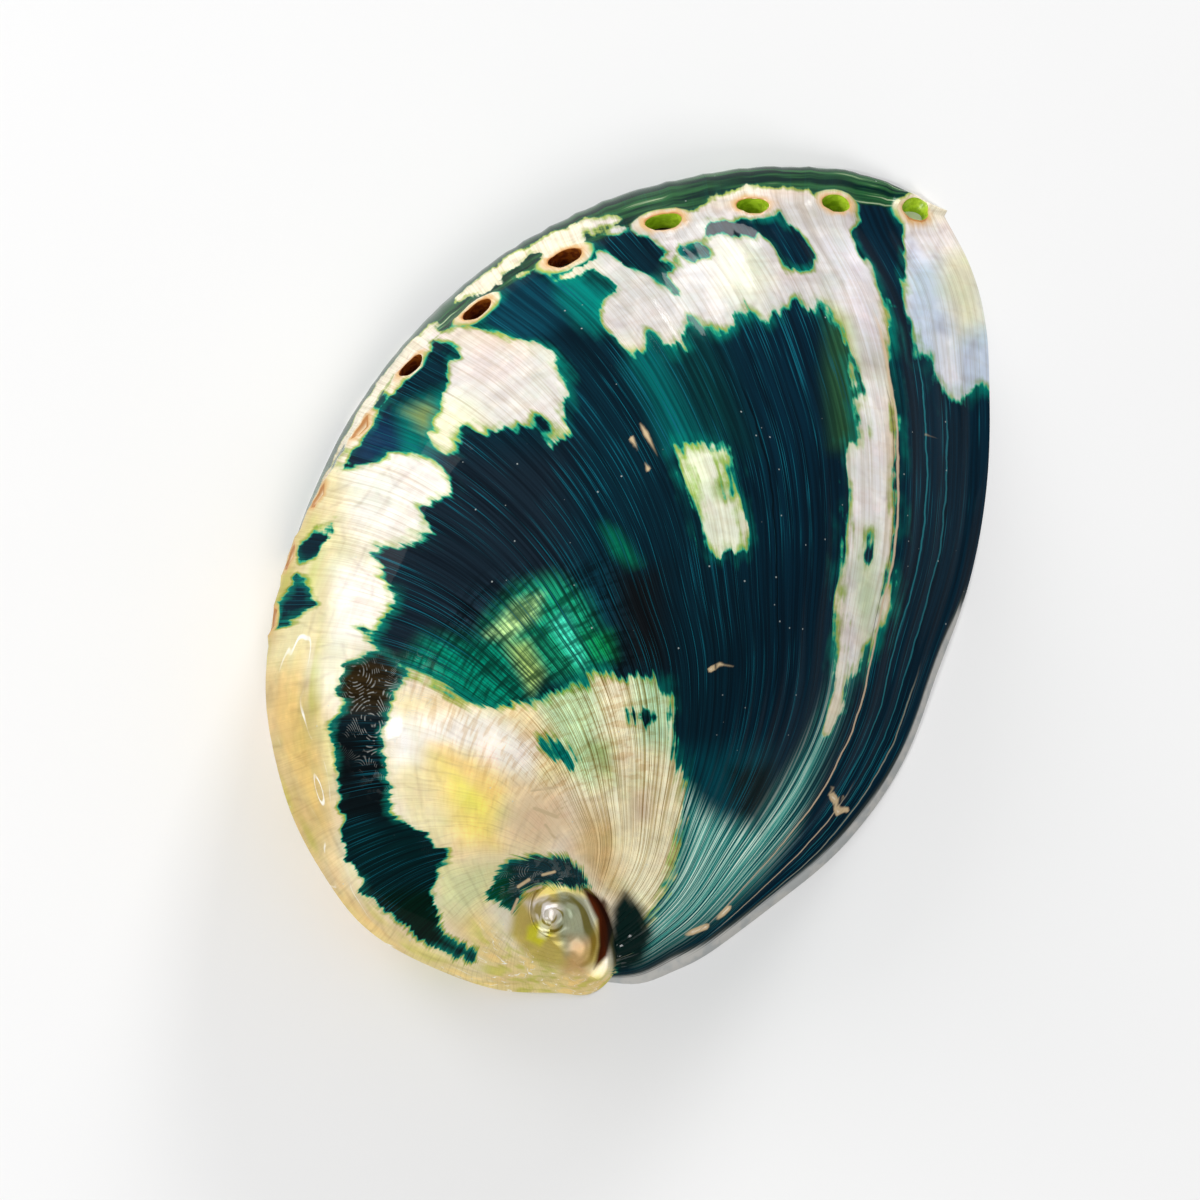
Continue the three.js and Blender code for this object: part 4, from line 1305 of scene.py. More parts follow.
@dataclass
class Painter:
    """Works out the shell's markings and keeps them as attributes of its vertices."""

    default_pale: tuple = (0.86, 0.78, 0.62)
    default_dark: tuple = (0.001, 0.018, 0.031)
    deepest: float = 8.0
    wall_width: float = 9.0

    def flat_places(self, places: np.ndarray, outward: np.ndarray, on_wall: np.ndarray) -> np.ndarray:
        """Lays the surface flat, and carries the wall on outwards.

        Args:
            places: Vertex places.
            outward: Vertex normals.
            on_wall: How far down the wall each vertex is, 0 to 1.

        Returns:
            Places across and up.
        """
        sideways = outward @ np.array([VIEW.across, VIEW.upward]).T
        return VIEW.flat(places) + unit(sideways) * (self.wall_width * on_wall**2)[:, None]

    def paint(self, shell: bpy.types.Object, body: ShellBody) -> None:
        """Writes the markings onto the shell.

        Args:
            shell: The finished mesh.
            body: Its maker, for pore places.
        """
        mesh = shell.data
        places, outward, growth = positions(mesh), normals(mesh), per_vertex_growth(mesh)
        down = np.clip((growth[:, 0] - 1) / WALL_SHARE, 0, 1)
        flat = self.flat_places(places, outward, down)
        depth = np.full(len(flat), -self.deepest)
        pale = np.tile(np.array(self.default_pale), (len(flat), 1))
        dark = np.tile(np.array(self.default_dark), (len(flat), 1))
        for patch in MARKINGS:
            inside = patch.inside(flat)
            if patch.mark is Mark.WINDOW:
                depth = np.maximum(depth, inside)
            else:
                depth = np.minimum(depth, -inside)
        calmness = 0.75 * fade(CALM_END.inside(flat), -4, 4)
        near_keel = fade(growth[:, 0], 0.86, 0.95) * fade(growth[:, 0], 1.05, 1.0)
        depth *= 1 + 1.1 * np.maximum(calmness, near_keel)
        for patch in TINTS:
            weight = fade(patch.inside(flat), -patch.soft, patch.soft)[:, None] * patch.share
            if patch.mark is Mark.PALE:
                pale = pale * (1 - weight) + np.array(patch.tint) * weight
            else:
                dark = dark * (1 - weight) + np.array(patch.tint) * weight
        self.store_colour(mesh, "clear_tint", np.column_stack([pale, calmness]))
        self.store_colour(mesh, "dark_tint", dark)
        angle = growth[:, 1] * DEGREES_PER_AGE
        along = np.where(growth[:, 0] > PAST_KEEL, 1.0, growth[:, 0])
        from_lip = angle * LIP_PER_DEGREE * np.clip(along * 3.2, 0.22, 1.6) + 6 * fade(along, 0.5, 0.75)
        from_lip = np.where(down > 0.0001, 9, from_lip)
        pore = self.pore_distance(places, body)
        marks = np.stack([np.clip(depth, -self.deepest, self.deepest), from_lip, pore], axis=1)
        kept = mesh.attributes.new("marks", "FLOAT_VECTOR", "POINT")
        kept.data.foreach_set("vector", marks.ravel())
        streak_and_glint_share = fade(SMOOTH_MARGIN.inside(flat), -1.5, 2.0)
        self.store_colour(mesh, "streaks", self.streak_strengths(flat, down, streak_and_glint_share))
        self.store_colour(mesh, "figure", self.figure_strengths(flat))

    def streak_strengths(
        self, flat: np.ndarray, down: np.ndarray, streak_and_glint_share: np.ndarray
    ) -> np.ndarray:
        """How strongly pale streaks, wall streaks, the dark smear, and the soft margin streaks with
        their painted glints show.

        Args:
            flat: Places across and up.
            down: How far down the wall, 0 to 1.
            streak_and_glint_share: How far each place belongs to the smooth margin, where soft streaks
                and painted glints show.

        Returns:
            Four strengths for each place.
        """
        return np.stack([
            fade(LIP_ROOT.inside(flat), -2.0, 2.5),
            fade(down, 0.0, 0.08),
            fade(DARK_SMEAR.inside(flat), -1.0, 0.7),
            streak_and_glint_share,
        ], axis=1)

    def figure_strengths(self, flat: np.ndarray) -> np.ndarray:
        """How strongly growth lines, cross lines, scratches, tubeworm marks and painted spire highlights
        show.

        Args:
            flat: Places across and up.

        Returns:
            Four strengths for each place.
        """
        worms_and_highlights = np.zeros(len(flat))
        for start, end, wide in WORM_MARKS_AND_SPIRE_HIGHLIGHTS:
            run = np.array(end) - np.array(start)
            off = flat - np.array(start)
            share = np.clip(off @ run / (run @ run), 0, 1)
            away = np.linalg.norm(off - share[:, None] * run, axis=1)
            worms_and_highlights = np.maximum(worms_and_highlights, fade(away, wide * 0.7 + 0.5, wide * 0.7 - 0.5))
        scratches = np.maximum(SCRATCHED.inside(flat), SCRATCHED_TUFT.inside(flat))
        return np.stack([
            fade(FAN.inside(flat), -2.5, 2.5),
            fade(LATTICE.inside(flat), -2.5, 2.5),
            fade(scratches, -3.0, 3.0),
            worms_and_highlights,
        ], axis=1)

    def pore_distance(self, places: np.ndarray, body: ShellBody) -> np.ndarray:
        """Distance to the nearest pore, in pore radii less one.

        Args:
            places: Vertex places.
            body: The shell, for its pores.

        Returns:
            A distance for each place, negative inside a pore.
        """
        nearest = np.full(len(places), 9.0)
        centre = body.centre
        for angle, length, width, _, _ in body.pore_relief():
            middle = body.law.keel(np.array(angle)) - centre
            spread = body.ellipse_distance(places, middle, angle, length, width)
            nearest = np.minimum(nearest, spread - 1)
        return nearest

    def store_colour(self, mesh: bpy.types.Mesh, name: str, values: np.ndarray) -> None:
        """Keeps a colour for each vertex.

        Args:
            mesh: The mesh.
            name: Name of the attribute.
            values: Colours.
        """
        kept = mesh.attributes.new(name, "FLOAT_COLOR", "POINT")
        full = np.concatenate([values, np.ones((len(values), 4 - values.shape[1]))], axis=1)
        kept.data.foreach_set("color", full.ravel())


# ---- Finishes ------------------------------------------------------------------------------


class Graph:
    """A small helper that lays out a material's nodes."""

    def __init__(self, name: str) -> None:
        """Starts a material.

        Args:
            name: Name of the material.
        """
        self.material = bpy.data.materials.new(name)
        self.material.use_nodes = True
        self.tree = self.material.node_tree
        self.surface = self.tree.nodes["Principled BSDF"]

    def node(self, kind: str, **settings: object) -> bpy.types.Node:
        """Adds a node.

        Args:
            kind: Blender's name of the node.
            **settings: Its properties.

        Returns:
            The node.
        """
        made = self.tree.nodes.new(kind)
        for key, value in settings.items():
            setattr(made, key, value)
        return made

    def feed(self, socket: bpy.types.NodeSocket, source: object) -> None:
        """Links a source to a socket, or sets its plain value.

        Args:
            socket: The socket to feed.
            source: A socket, a number or a colour.
        """
        if isinstance(source, bpy.types.NodeSocket):
            self.tree.links.new(source, socket)
        elif isinstance(source, tuple) and len(source) == 3 and socket.type == "RGBA":
            socket.default_value = (*source, 1)
        else:
            socket.default_value = source

    def math(self, operation: str, a: object, b: object = 0.0) -> bpy.types.NodeSocket:
        """A sum, product or other operation on two numbers.

        Args:
            operation: Blender's name of the operation.
            a: The first number.
            b: The second number.

        Returns:
            The result.
        """
        made = self.node("ShaderNodeMath", operation=operation)
        self.feed(made.inputs[0], a)
        self.feed(made.inputs[1], b)
        return made.outputs[0]

    def times(self, a: object, b: object) -> bpy.types.NodeSocket:
        """The product of two numbers."""
        return self.math("MULTIPLY", a, b)

    def plus(self, a: object, b: object) -> bpy.types.NodeSocket:
        """The sum of two numbers."""
        return self.math("ADD", a, b)

    def less(self, a: object, b: object) -> bpy.types.NodeSocket:
        """The first number less the second."""
        return self.math("SUBTRACT", a, b)

    def apart(self, a: object, b: object) -> bpy.types.NodeSocket:
        """How far apart two numbers are."""
        return self.math("ABSOLUTE", self.less(a, b))

    def swing(self, value: object, width: float) -> bpy.types.NodeSocket:
        """Turns noise around one half into a swing of a given width about nought."""
        return self.times(self.less(value, 0.5), width)

    def ramp(self, value: object, low: float, high: float) -> bpy.types.NodeSocket:
        """Rises smoothly from 0 at low to 1 at high.

        Args:
            value: What to judge.
            low: Where it is 0.
            high: Where it is 1; it may be the smaller.

        Returns:
            A share from 0 to 1.
        """
        made = self.node("ShaderNodeMapRange", interpolation_type="SMOOTHSTEP")
        self.feed(made.inputs["Value"], value)
        falls = low > high
        made.inputs["From Min"].default_value = high if falls else low
        made.inputs["From Max"].default_value = low if falls else high
        made.inputs["To Min"].default_value = 1.0 if falls else 0.0
        made.inputs["To Max"].default_value = 0.0 if falls else 1.0
        return made.outputs["Result"]

    def mix(self, share: object, a: object, b: object, blend: str = "MIX") -> bpy.types.NodeSocket:
        """Mixes two colours.

        Args:
            share: How much of the second.
            a: The first.
            b: The second.
            blend: The way of mixing.

        Returns:
            The mixed colour.
        """
        made = self.node("ShaderNodeMix", data_type="RGBA", blend_type=blend)
        self.feed(made.inputs[0], share)
        self.feed(made.inputs[6], a)
        self.feed(made.inputs[7], b)
        return made.outputs[2]

    def stain(self, share: object, colour: object, stain: object) -> bpy.types.NodeSocket:
        """Multiplies a colour by a stain, by a share."""
        return self.mix(share, colour, stain, "MULTIPLY")

    def vector(self, x: object, y: object, z: object) -> bpy.types.NodeSocket:
        """Combines three numbers.

        Args:
            x: The first.
            y: The second.
            z: The third.

        Returns:
            The vector.
        """
        made = self.node("ShaderNodeCombineXYZ")
        for socket, source in zip(made.inputs, (x, y, z)):
            self.feed(socket, source)
        return made.outputs[0]

    def parts(self, source: bpy.types.NodeSocket) -> list:
        """Splits a vector into its three numbers.

        Args:
            source: The vector.

        Returns:
            Three sockets.
        """
        made = self.node("ShaderNodeSeparateXYZ")
        self.feed(made.inputs[0], source)
        return list(made.outputs)

    def noise(
        self, at: bpy.types.NodeSocket, scale: float, detail: float = 2.0, rough: float = 0.5
    ) -> bpy.types.NodeSocket:
        """Soft noise around one half.

        Args:
            at: Where to read it.
            scale: Its fineness.
            detail: How many finer layers it has.
            rough: How strong those are.

        Returns:
            The noise.
        """
        made = self.node("ShaderNodeTexNoise")
        self.feed(made.inputs["Vector"], at)
        made.inputs["Scale"].default_value = scale
        made.inputs["Detail"].default_value = detail
        made.inputs["Roughness"].default_value = rough
        return made.outputs["Fac"]

    def attribute(self, name: str, output: str) -> bpy.types.NodeSocket:
        """Reads one of the mesh's own attributes."""
        made = self.node("ShaderNodeAttribute", attribute_name=name)
        return made.outputs[output]

    def object_millimetres(self) -> bpy.types.NodeSocket:
        """Object coordinates in millimetres.

        Returns:
            The place.
        """
        place = self.node("ShaderNodeTexCoord").outputs["Object"]
        made = self.node("ShaderNodeVectorMath", operation="SCALE")
        self.feed(made.inputs[0], place)
        made.inputs["Scale"].default_value = 1000
        return made.outputs[0]

    def bump(self, height: bpy.types.NodeSocket, distance: float, strength: float) -> None:
        """Gives the surface a fine relief.

        Args:
            height: The relief, 0 to 1.
            distance: Its depth in metres.
            strength: How much of it shows.
        """
        made = self.node("ShaderNodeBump")
        made.inputs["Strength"].default_value = strength
        made.inputs["Distance"].default_value = distance
        self.feed(made.inputs["Height"], height)
        self.feed(self.surface.inputs["Normal"], made.outputs["Normal"])

    def finish(self, colour: object, roughness: object, **plain: float) -> bpy.types.Material:
        """Feeds the shader.

        Args:
            colour: Base colour.
            roughness: Roughness.
            **plain: Values of the shader's own sockets, with spaces written as underscores.

        Returns:
            The material.
        """
        self.feed(self.surface.inputs["Base Color"], colour)
        self.feed(self.surface.inputs["Roughness"], roughness)
        for key, value in plain.items():
            self.surface.inputs[key.replace("_", " ")].default_value = value
        return self.material


@dataclass(frozen=True)
class PolishedOutside:
    """The outside, ground down and polished till the nacre shows through in windows."""

    tooth: float = 4.4
    fine_tooth: float = 1.2
    mottle: float = 2.0
    glow: tuple = (0.0, 0.24, 0.18)
    bright_glow: tuple = (0.03, 0.42, 0.22)
    fringe: tuple = (0.40, 0.58, 0.14)
    line: tuple = (0.004, 0.12, 0.17)
    worn: tuple = (0.56, 0.57, 0.56)
    rim_tan: tuple = (0.66, 0.40, 0.16)
    rim_brown: tuple = (0.42, 0.15, 0.03)

    def material(self) -> bpy.types.Material:
        """Builds the material.

        Returns:
            The material.
        """
        g = Graph("polished abalone")
        place = g.object_millimetres()
        x, y, _ = g.parts(place)
        uv = g.node("ShaderNodeUVMap", uv_map="growth").outputs[0]
        along, age, _ = g.parts(uv)
        age = g.times(age, 100)
        field, from_lip, pore = g.parts(g.attribute("marks", "Vector"))
        root, wall, haze = g.parts(g.attribute("streaks", "Vector"))

        coarse = self.strands(g, x, y, age, 0.10, 0.75)
        fine = self.strands(g, x, y, age, 0.22, 2.8)
        edge = self.jagged(g, field, coarse, fine, place)
        ring = g.times(g.less(0.75, pore), 3.0)
        edge = g.math("MAXIMUM", edge, ring)

        lines = g.noise(self.strands(g, x, y, age, 0.03, 2.4), 1.0, 4.0, 0.62)
        hair = g.noise(self.strands(g, x, y, age, 0.05, 6.5), 1.0, 2.0, 0.5)
        fan, lattice, scratched = g.parts(g.attribute("figure", "Vector"))
        cross = g.noise(
            g.vector(g.times(along, 85), g.times(age, 0.16), 0.0), 1.0, 2.0
        )
        clear = self.clear_layer(
            g, place, lines, hair, edge, fan, lattice, cross, along, age
        )
        dark = self.dark_layer(
            g, place, lines, hair, edge, root, wall, along, age, lattice, cross
        )
        colour = g.mix(g.ramp(edge, -0.22, 0.22), dark, clear)
        colour = self.long_lines(g, colour, place, along, age)
        colour = self.marks_on_top(g, colour, place, from_lip, pore, haze, lines, scratched)
        rough = g.plus(0.09, g.times(g.ramp(from_lip, 2.0, 1.2), 0.18))
        height = g.plus(g.times(lines, 0.7), g.times(hair, 0.3))
        smooth = g.less(1.0, g.times(g.attribute("clear_tint", "Alpha"), 0.6))
        g.bump(g.times(height, smooth), 0.00022, 0.35)
        return g.finish(
            colour, rough, IOR=1.5, Specular_IOR_Level=0.01, Coat_Weight=0.10, Coat_Roughness=0.03
        )

    def strands(
        self, g: Graph, x: object, y: object, age: object, plan: float, turn: float
    ) -> bpy.types.NodeSocket:
        """Coordinates that change slowly along the growth lines and fast across them.

        Args:
            g: The material being laid out.
            x: Place along x.
            y: Place along y.
            age: Degrees back from the lip.
            plan: Fineness along the lines.
            turn: Fineness across them.

        Returns:
            The coordinates.
        """
        return g.vector(
            g.times(x, plan), g.times(y, plan), g.times(age, turn)
        )

    def jagged(
        self, g: Graph, field: object, coarse: object, fine: object, place: object
    ) -> bpy.types.NodeSocket:
        """The windows' edge, broken into teeth along the growth lines.

        Args:
            g: The material being laid out.
            field: Millimetres inside the nearest outline.
            coarse: Coordinates of the large teeth.
            fine: Coordinates of the small teeth.
            place: Place in millimetres.

        Returns:
            Millimetres inside the jagged edge.
        """
        teeth = g.swing(g.noise(coarse, 1.0, 2.0), self.tooth)
        small = g.swing(g.noise(fine, 1.0, 2.0), self.fine_tooth)
        blots = g.swing(g.noise(place, 0.45, 3.0), self.mottle)
        return g.plus(g.plus(field, teeth), g.plus(small, blots))

    def clear_layer(
        self, g: Graph, place: object, lines: object, hair: object, edge: object,
        fan: object, lattice: object, cross: object, along: object, age: object,
    ) -> bpy.types.NodeSocket:
        """Nacre seen through the polished windows.

        Args:
            g: The material being laid out.
            place: Place in millimetres.
            lines: Coarse growth lines.
            hair: Fine growth lines.
            edge: Millimetres inside the nearest window.
            fan: How far the fan shows.
            lattice: How far cross lines show.
            cross: The cross lines.
            along: Share of the way from suture to keel.
            age: Degrees back from the lip.

        Returns:
            Its colour.
        """
        tint = g.attribute("clear_tint", "Color")
        cloud = g.noise(place, 0.16, 3.0, 0.6)
        tint = g.stain(g.times(g.ramp(cloud, 0.5, 0.7), 0.30), tint, (0.96, 0.74, 0.78))
        tint = g.stain(g.times(g.ramp(cloud, 0.5, 0.32), 0.28), tint, (0.76, 0.95, 0.80))
        shine = g.noise(place, 0.30, 3.0, 0.55)
        tint = g.stain(g.ramp(shine, 0.44, 0.68), tint, (1.16, 1.15, 1.13))
        smooth = g.less(1.0, g.times(g.attribute("clear_tint", "Alpha"), 0.75))
        lined = g.plus(g.times(smooth, 0.26), g.times(fan, 0.75))
        tint = g.stain(g.times(lined, g.ramp(lines, 0.54, 0.36)), tint,
                     (0.50, 0.40, 0.24))
        tint = g.stain(g.times(lined, g.ramp(hair, 0.50, 0.38)), tint,
                     (0.62, 0.50, 0.34))
        crossed = g.plus(0.10, g.times(lattice, 0.40))
        tint = g.stain(g.times(crossed, g.ramp(cross, 0.50, 0.38)), tint,
                     (0.74, 0.56, 0.36))
        tint = g.stain(g.times(crossed, g.ramp(cross, 0.54, 0.64)), tint,
                     (1.22, 1.20, 1.18))
        tint = self.flows_and_glints(g, tint, along, age)
        tint = self.seams(g, tint, place, along, age)
        tint = self.spire_swirls(g, tint, along, age)
        rim = g.times(g.ramp(edge, 1.2, 0.1), g.ramp(cloud, 0.34, 0.58))
        return g.stain(rim, tint, self.fringe)

    def flows_and_glints(
        self, g: Graph, tint: object, along: object, age: object
    ) -> bpy.types.NodeSocket:
        """Soft green and golden streaks that follow the outline of the smooth margin, with thin painted
        glints along them.

        Args:
            g: The material being laid out.
            tint: Colour so far.
            along: Share of the way from suture to keel.
            age: Degrees back from the lip.

        Returns:
            The colour with the streaks and the painted glints.
        """
        margin = g.attribute("streaks", "Alpha")
        at = g.vector(g.times(along, 11), g.times(age, 0.045), 0.0)
        flow = g.noise(at, 1.0, 2.0, 0.5)
        tint = g.stain(g.times(margin, g.ramp(flow, 0.50, 0.62)), tint,
                     (0.80, 0.90, 0.50))
        tint = g.stain(g.times(margin, g.ramp(flow, 0.48, 0.36)), tint,
                     (1.16, 1.08, 0.95))
        # Painted highlight: thin near-white glint lines along the margin's streaks.
        painted_glint = g.apart(flow, 0.455)
        painted_glint = g.times(g.ramp(painted_glint, 0.010, 0.003), g.ramp(g.noise(at, 2.3), 0.46, 0.60))
        return g.mix(g.times(margin, painted_glint), tint, (1.0, 0.98, 0.88))

    def seams(
        self, g: Graph, tint: object, place: object, along: object, age: object
    ) -> bpy.types.NodeSocket:
        """Faint grey seams, along the growth lines and across them.

        Args:
            g: The material being laid out.
            tint: Colour so far.
            place: Place in millimetres.
            along: Share of the way from suture to keel.
            age: Degrees back from the lip.

        Returns:
            The colour with seams.
        """
        drift = g.noise(place, 0.09, 1.0)
        gaps = g.ramp(g.noise(place, 0.22, 2.0), 0.40, 0.60)
        for source, pitch, sway in ((along, 15, 3.2), (age, 0.42, 3.6)):
            at = g.plus(g.times(source, pitch), g.times(drift, sway))
            off = g.apart(g.math("FRACT", at), 0.5)
            line = g.times(g.ramp(off, 0.17, 0.0), gaps)
            tint = g.stain(g.times(line, 0.38), tint, (0.72, 0.68, 0.68))
        return tint

    def spire_swirls(
        self, g: Graph, tint: object, along: object, age: object
    ) -> bpy.types.NodeSocket:
        """Glassy bands that follow the small whorls of the spire.

        Args:
            g: The material being laid out.
            tint: Colour so far.
            along: Share of the way from suture to keel.
            age: Degrees back from the lip.

        Returns:
            The colour with bands.
        """
        band = g.noise(
            g.vector(g.times(along, 4.5), g.times(age, 0.016), 3.0), 1.0, 1.0
        )
        small = g.ramp(age, 250, 266)
        tint = g.stain(g.times(small, g.ramp(band, 0.50, 0.36)), tint,
                     (0.46, 0.40, 0.16))
        return g.stain(g.times(small, g.ramp(band, 0.54, 0.68)), tint,
                     (2.0, 2.05, 2.3))

    def dark_layer(
        self, g: Graph, place: object, lines: object, hair: object, edge: object,
        root: object, wall: object, along: object, age: object, lattice: object, cross: object,
    ) -> bpy.types.NodeSocket:
        """The dark outer layer with its growth lines, glowing where it thins to a window.

        Args:
            g: The material being laid out.
            place: Place in millimetres.
            lines: Coarse growth lines.
            hair: Fine growth lines.
            edge: Millimetres inside the nearest window.
            root: How far the pale streaks show.
            wall: How far the place is on the wall.
            along: Share of the way from suture to keel.
            age: Degrees back from the lip.
            lattice: How far cross lines show.
            cross: The cross lines.

        Returns:
            Its colour.
        """
        tint = g.attribute("dark_tint", "Color")
        tint = g.stain(g.ramp(lines, 0.62, 0.36), tint, (0.42, 0.46, 0.50))
        woven = g.times(g.ramp(lines, 0.34, 0.62), g.ramp(cross, 0.34, 0.60))
        bright = g.mix(woven, (0.30, 0.42, 0.40), (2.0, 1.9, 1.8))
        tint = g.mix(lattice, tint, g.stain(1.0, tint, bright))
        drift = g.ramp(g.noise(place, 0.07, 2.0), 0.36, 0.60)
        thread = g.times(g.ramp(hair, 0.58, 0.68), g.times(drift, 0.85))
        tint = g.mix(thread, tint, self.line)
        spread = g.ramp(g.noise(place, 0.10, 2.0), 0.42, 0.62)
        far = g.times(g.ramp(edge, -2.4, -0.1), g.times(spread, 0.75))
        near = g.ramp(edge, -0.7, -0.05)
        thin = g.times(g.math("MAXIMUM", far, near), g.ramp(lines, 0.28, 0.6))
        tint = g.mix(thin, tint, self.glow)
        tint = g.mix(g.times(g.ramp(edge, -0.45, -0.05), 0.8), tint, self.bright_glow)
        streak = g.vector(g.times(along, 55), g.times(age, 0.10), 0.0)
        band = g.noise(streak, 1.0, 3.0, 0.55)
        green = g.mix(g.ramp(band, 0.40, 0.64), (0.0, 0.016, 0.010), (0.025, 0.12, 0.035))
        green = g.mix(g.ramp(band, 0.62, 0.72), green, (0.40, 0.50, 0.30))
        tint = g.mix(g.times(wall, 0.85), tint, green)
        pale = g.mix(g.ramp(lines, 0.42, 0.54), (0.0, 0.10, 0.11), (0.07, 0.46, 0.38))
        pale = g.mix(g.ramp(lines, 0.50, 0.62), pale, (0.84, 1.0, 0.86))
        return g.mix(g.times(root, g.ramp(lines, 0.26, 0.46)), tint, pale)

    def long_lines(
        self, g: Graph, colour: object, place: object, along: object, age: object
    ) -> bpy.types.NodeSocket:
        """A tan growth edge, dark cracks and thin lines that follow the growth.

        Args:
            g: The material being laid out.
            colour: Colour so far.
            place: Place in millimetres.
            along: Share of the way from suture to keel.
            age: Degrees back from the lip.

        Returns:
            The colour with the lines.
        """
        wander = g.swing(g.noise(place, 0.16, 3.0), 0.9)
        at = g.plus(age, wander)
        for angle, width, low, high, tint, share in (
            (9.3, 0.18, 0.10, 0.88, (0.66, 0.50, 0.34), 0.9),
            (9.75, 0.09, 0.15, 0.80, (0.05, 0.04, 0.03), 0.6),
            (24.2, 0.16, 0.35, 0.80, (0.0, 0.004, 0.008), 0.9),
            (6.3, 0.12, 0.25, 0.85, (0.02, 0.22, 0.26), 0.7),
            (4.1, 0.12, 0.20, 0.80, (0.02, 0.18, 0.22), 0.7),
            (2.6, 0.14, 0.12, 0.50, (0.40, 0.40, 0.30), 0.6),
            (5.2, 0.14, 0.10, 0.35, (0.62, 0.50, 0.34), 0.8),
        ):
            off = g.apart(at, angle)
            line = g.times(g.ramp(off, width, width * 0.3), share)
            ends = g.times(g.ramp(along, low, low + 0.06), g.ramp(along, high, high - 0.06))
            colour = g.mix(g.times(line, ends), colour, tint)
        return colour

    def marks_on_top(
        self, g: Graph, colour: object, place: object, from_lip: object, pore: object,
        haze: object, lines: object, scratched: object,
    ) -> bpy.types.NodeSocket:
        """Pore rims, the worn lip, the hazy smear, scratches, tubeworm marks with painted highlight
        strokes, and small white specks.

        Args:
            g: The material being laid out.
            colour: Colour so far.
            place: Place in millimetres.
            from_lip: Millimetres from the lip.
            pore: Distance to the nearest pore, in its radii less one.
            haze: How far the smear shows.
            lines: Coarse growth lines.
            scratched: How far scratches show.

        Returns:
            The finished colour.
        """
        blur = g.plus(pore, g.swing(lines, 0.8))
        tan = g.times(g.ramp(blur, 0.85, 0.10), 0.9)
        colour = g.mix(tan, colour, self.rim_tan)
        sealed = g.ramp(pore, -0.60, -0.10)
        colour = g.mix(g.times(g.ramp(pore, -0.10, -0.60), 0.55), colour,
                       (0.92, 0.80, 0.56))
        ring = g.times(g.ramp(pore, 0.22, 0.04), g.times(sealed, 0.8))
        colour = g.mix(ring, colour, self.rim_brown)
        lip = g.plus(from_lip, g.swing(lines, 2.0))
        cloud = g.noise(place, 0.35, 3.0, 0.6)
        worn = g.mix(g.ramp(cloud, 0.40, 0.60), (0.40, 0.42, 0.42), (0.62, 0.59, 0.54))
        worn = g.mix(0.45, worn, self.worn)
        colour = g.mix(g.times(g.ramp(lip, 2.5, 1.9), 0.6), colour, (0.05, 0.06, 0.05))
        colour = g.mix(g.times(g.ramp(lip, 1.9, 1.2), 0.92), colour, worn)
        colour = g.mix(g.times(haze, g.ramp(lines, 0.20, 0.36)), colour, (0.002, 0.013, 0.011))
        swirl = g.times(g.noise(place, 0.10, 0.0), 116)
        print_line = g.apart(g.math("FRACT", swirl), 0.5)
        broken = g.ramp(g.noise(place, 0.9, 2.0), 0.48, 0.58)
        thin = g.times(g.times(g.ramp(print_line, 0.22, 0.05), broken),
                      scratched)
        colour = g.mix(g.times(thin, 0.42), colour, (0.60, 0.62, 0.58))
        # Tan strokes with pale cores: tubeworm marks, and round the spire painted highlights.
        worm_and_highlight = g.attribute("figure", "Alpha")
        colour = g.mix(g.ramp(worm_and_highlight, 0.30, 0.60), colour, (0.62, 0.47, 0.28))
        colour = g.mix(
            g.times(g.ramp(worm_and_highlight, 0.7, 0.95), 0.8), colour, (0.95, 0.88, 0.74)
        )
        cell = g.node("ShaderNodeTexVoronoi", feature="F1")
        g.feed(cell.inputs["Vector"], place)
        cell.inputs["Scale"].default_value = 0.62
        speck = g.times(g.ramp(cell.outputs["Distance"], 0.10, 0.04),
                       g.ramp(g.parts(cell.outputs["Color"])[0], 0.80, 0.82))
        return g.mix(g.times(speck, 0.5), colour, (0.60, 0.66, 0.64))


@dataclass(frozen=True)
class NacreInside:
    """Mother of pearl in the hollow."""

    base: tuple = (0.78, 0.77, 0.76)

    def material(self) -> bpy.types.Material:
        """Builds the material.

        Returns:
            The material.
        """
        g = Graph("mother of pearl")
        place = g.object_millimetres()
        cloud = g.noise(place, 0.09, 4.0, 0.6)
        swirl = g.noise(place, 0.22, 3.0, 0.6)
        colour = g.mix(g.ramp(cloud, 0.46, 0.60), self.base, (0.80, 0.58, 0.68))
        colour = g.mix(g.times(g.ramp(cloud, 0.48, 0.36), 0.8), colour, (0.42, 0.72, 0.66))
        colour = g.mix(g.times(g.ramp(swirl, 0.55, 0.68), 0.6), colour, (0.45, 0.55, 0.80))
        g.bump(swirl, 0.0006, 0.35)
        return g.finish(colour, 0.16, IOR=1.55, Coat_Weight=0.4, Coat_Roughness=0.05)


@dataclass(frozen=True)
class WornRim:
    """The shell's cut edge on the rim plane."""

    base: tuple = (0.62, 0.58, 0.50)

    def material(self) -> bpy.types.Material:
        """Builds the material.

        Returns:
            The material.
        """
        g = Graph("worn rim")
        place = g.object_millimetres()
        grain = g.noise(place, 1.4, 3.0, 0.6)
        colour = g.mix(g.ramp(grain, 0.40, 0.62), self.base, (0.36, 0.40, 0.36))
        g.bump(grain, 0.0002, 0.4)
        return g.finish(colour, 0.45)


@dataclass(frozen=True)
class PoreWall:
    """The wall of a breathing pore."""

    name: str
    light: tuple
    deep: tuple

    def material(self) -> bpy.types.Material:
        """Builds the material.

        Returns:
            The material.
        """
        g = Graph(self.name)
        place = g.object_millimetres()
        grain = g.noise(place, 1.1, 2.0, 0.5)
        colour = g.mix(g.ramp(grain, 0.40, 0.60), self.deep, self.light)
        g.bump(grain, 0.0002, 0.3)
        return g.finish(colour, 0.25)


# ---- Floor, light and camera -----------------------------------------------------------------


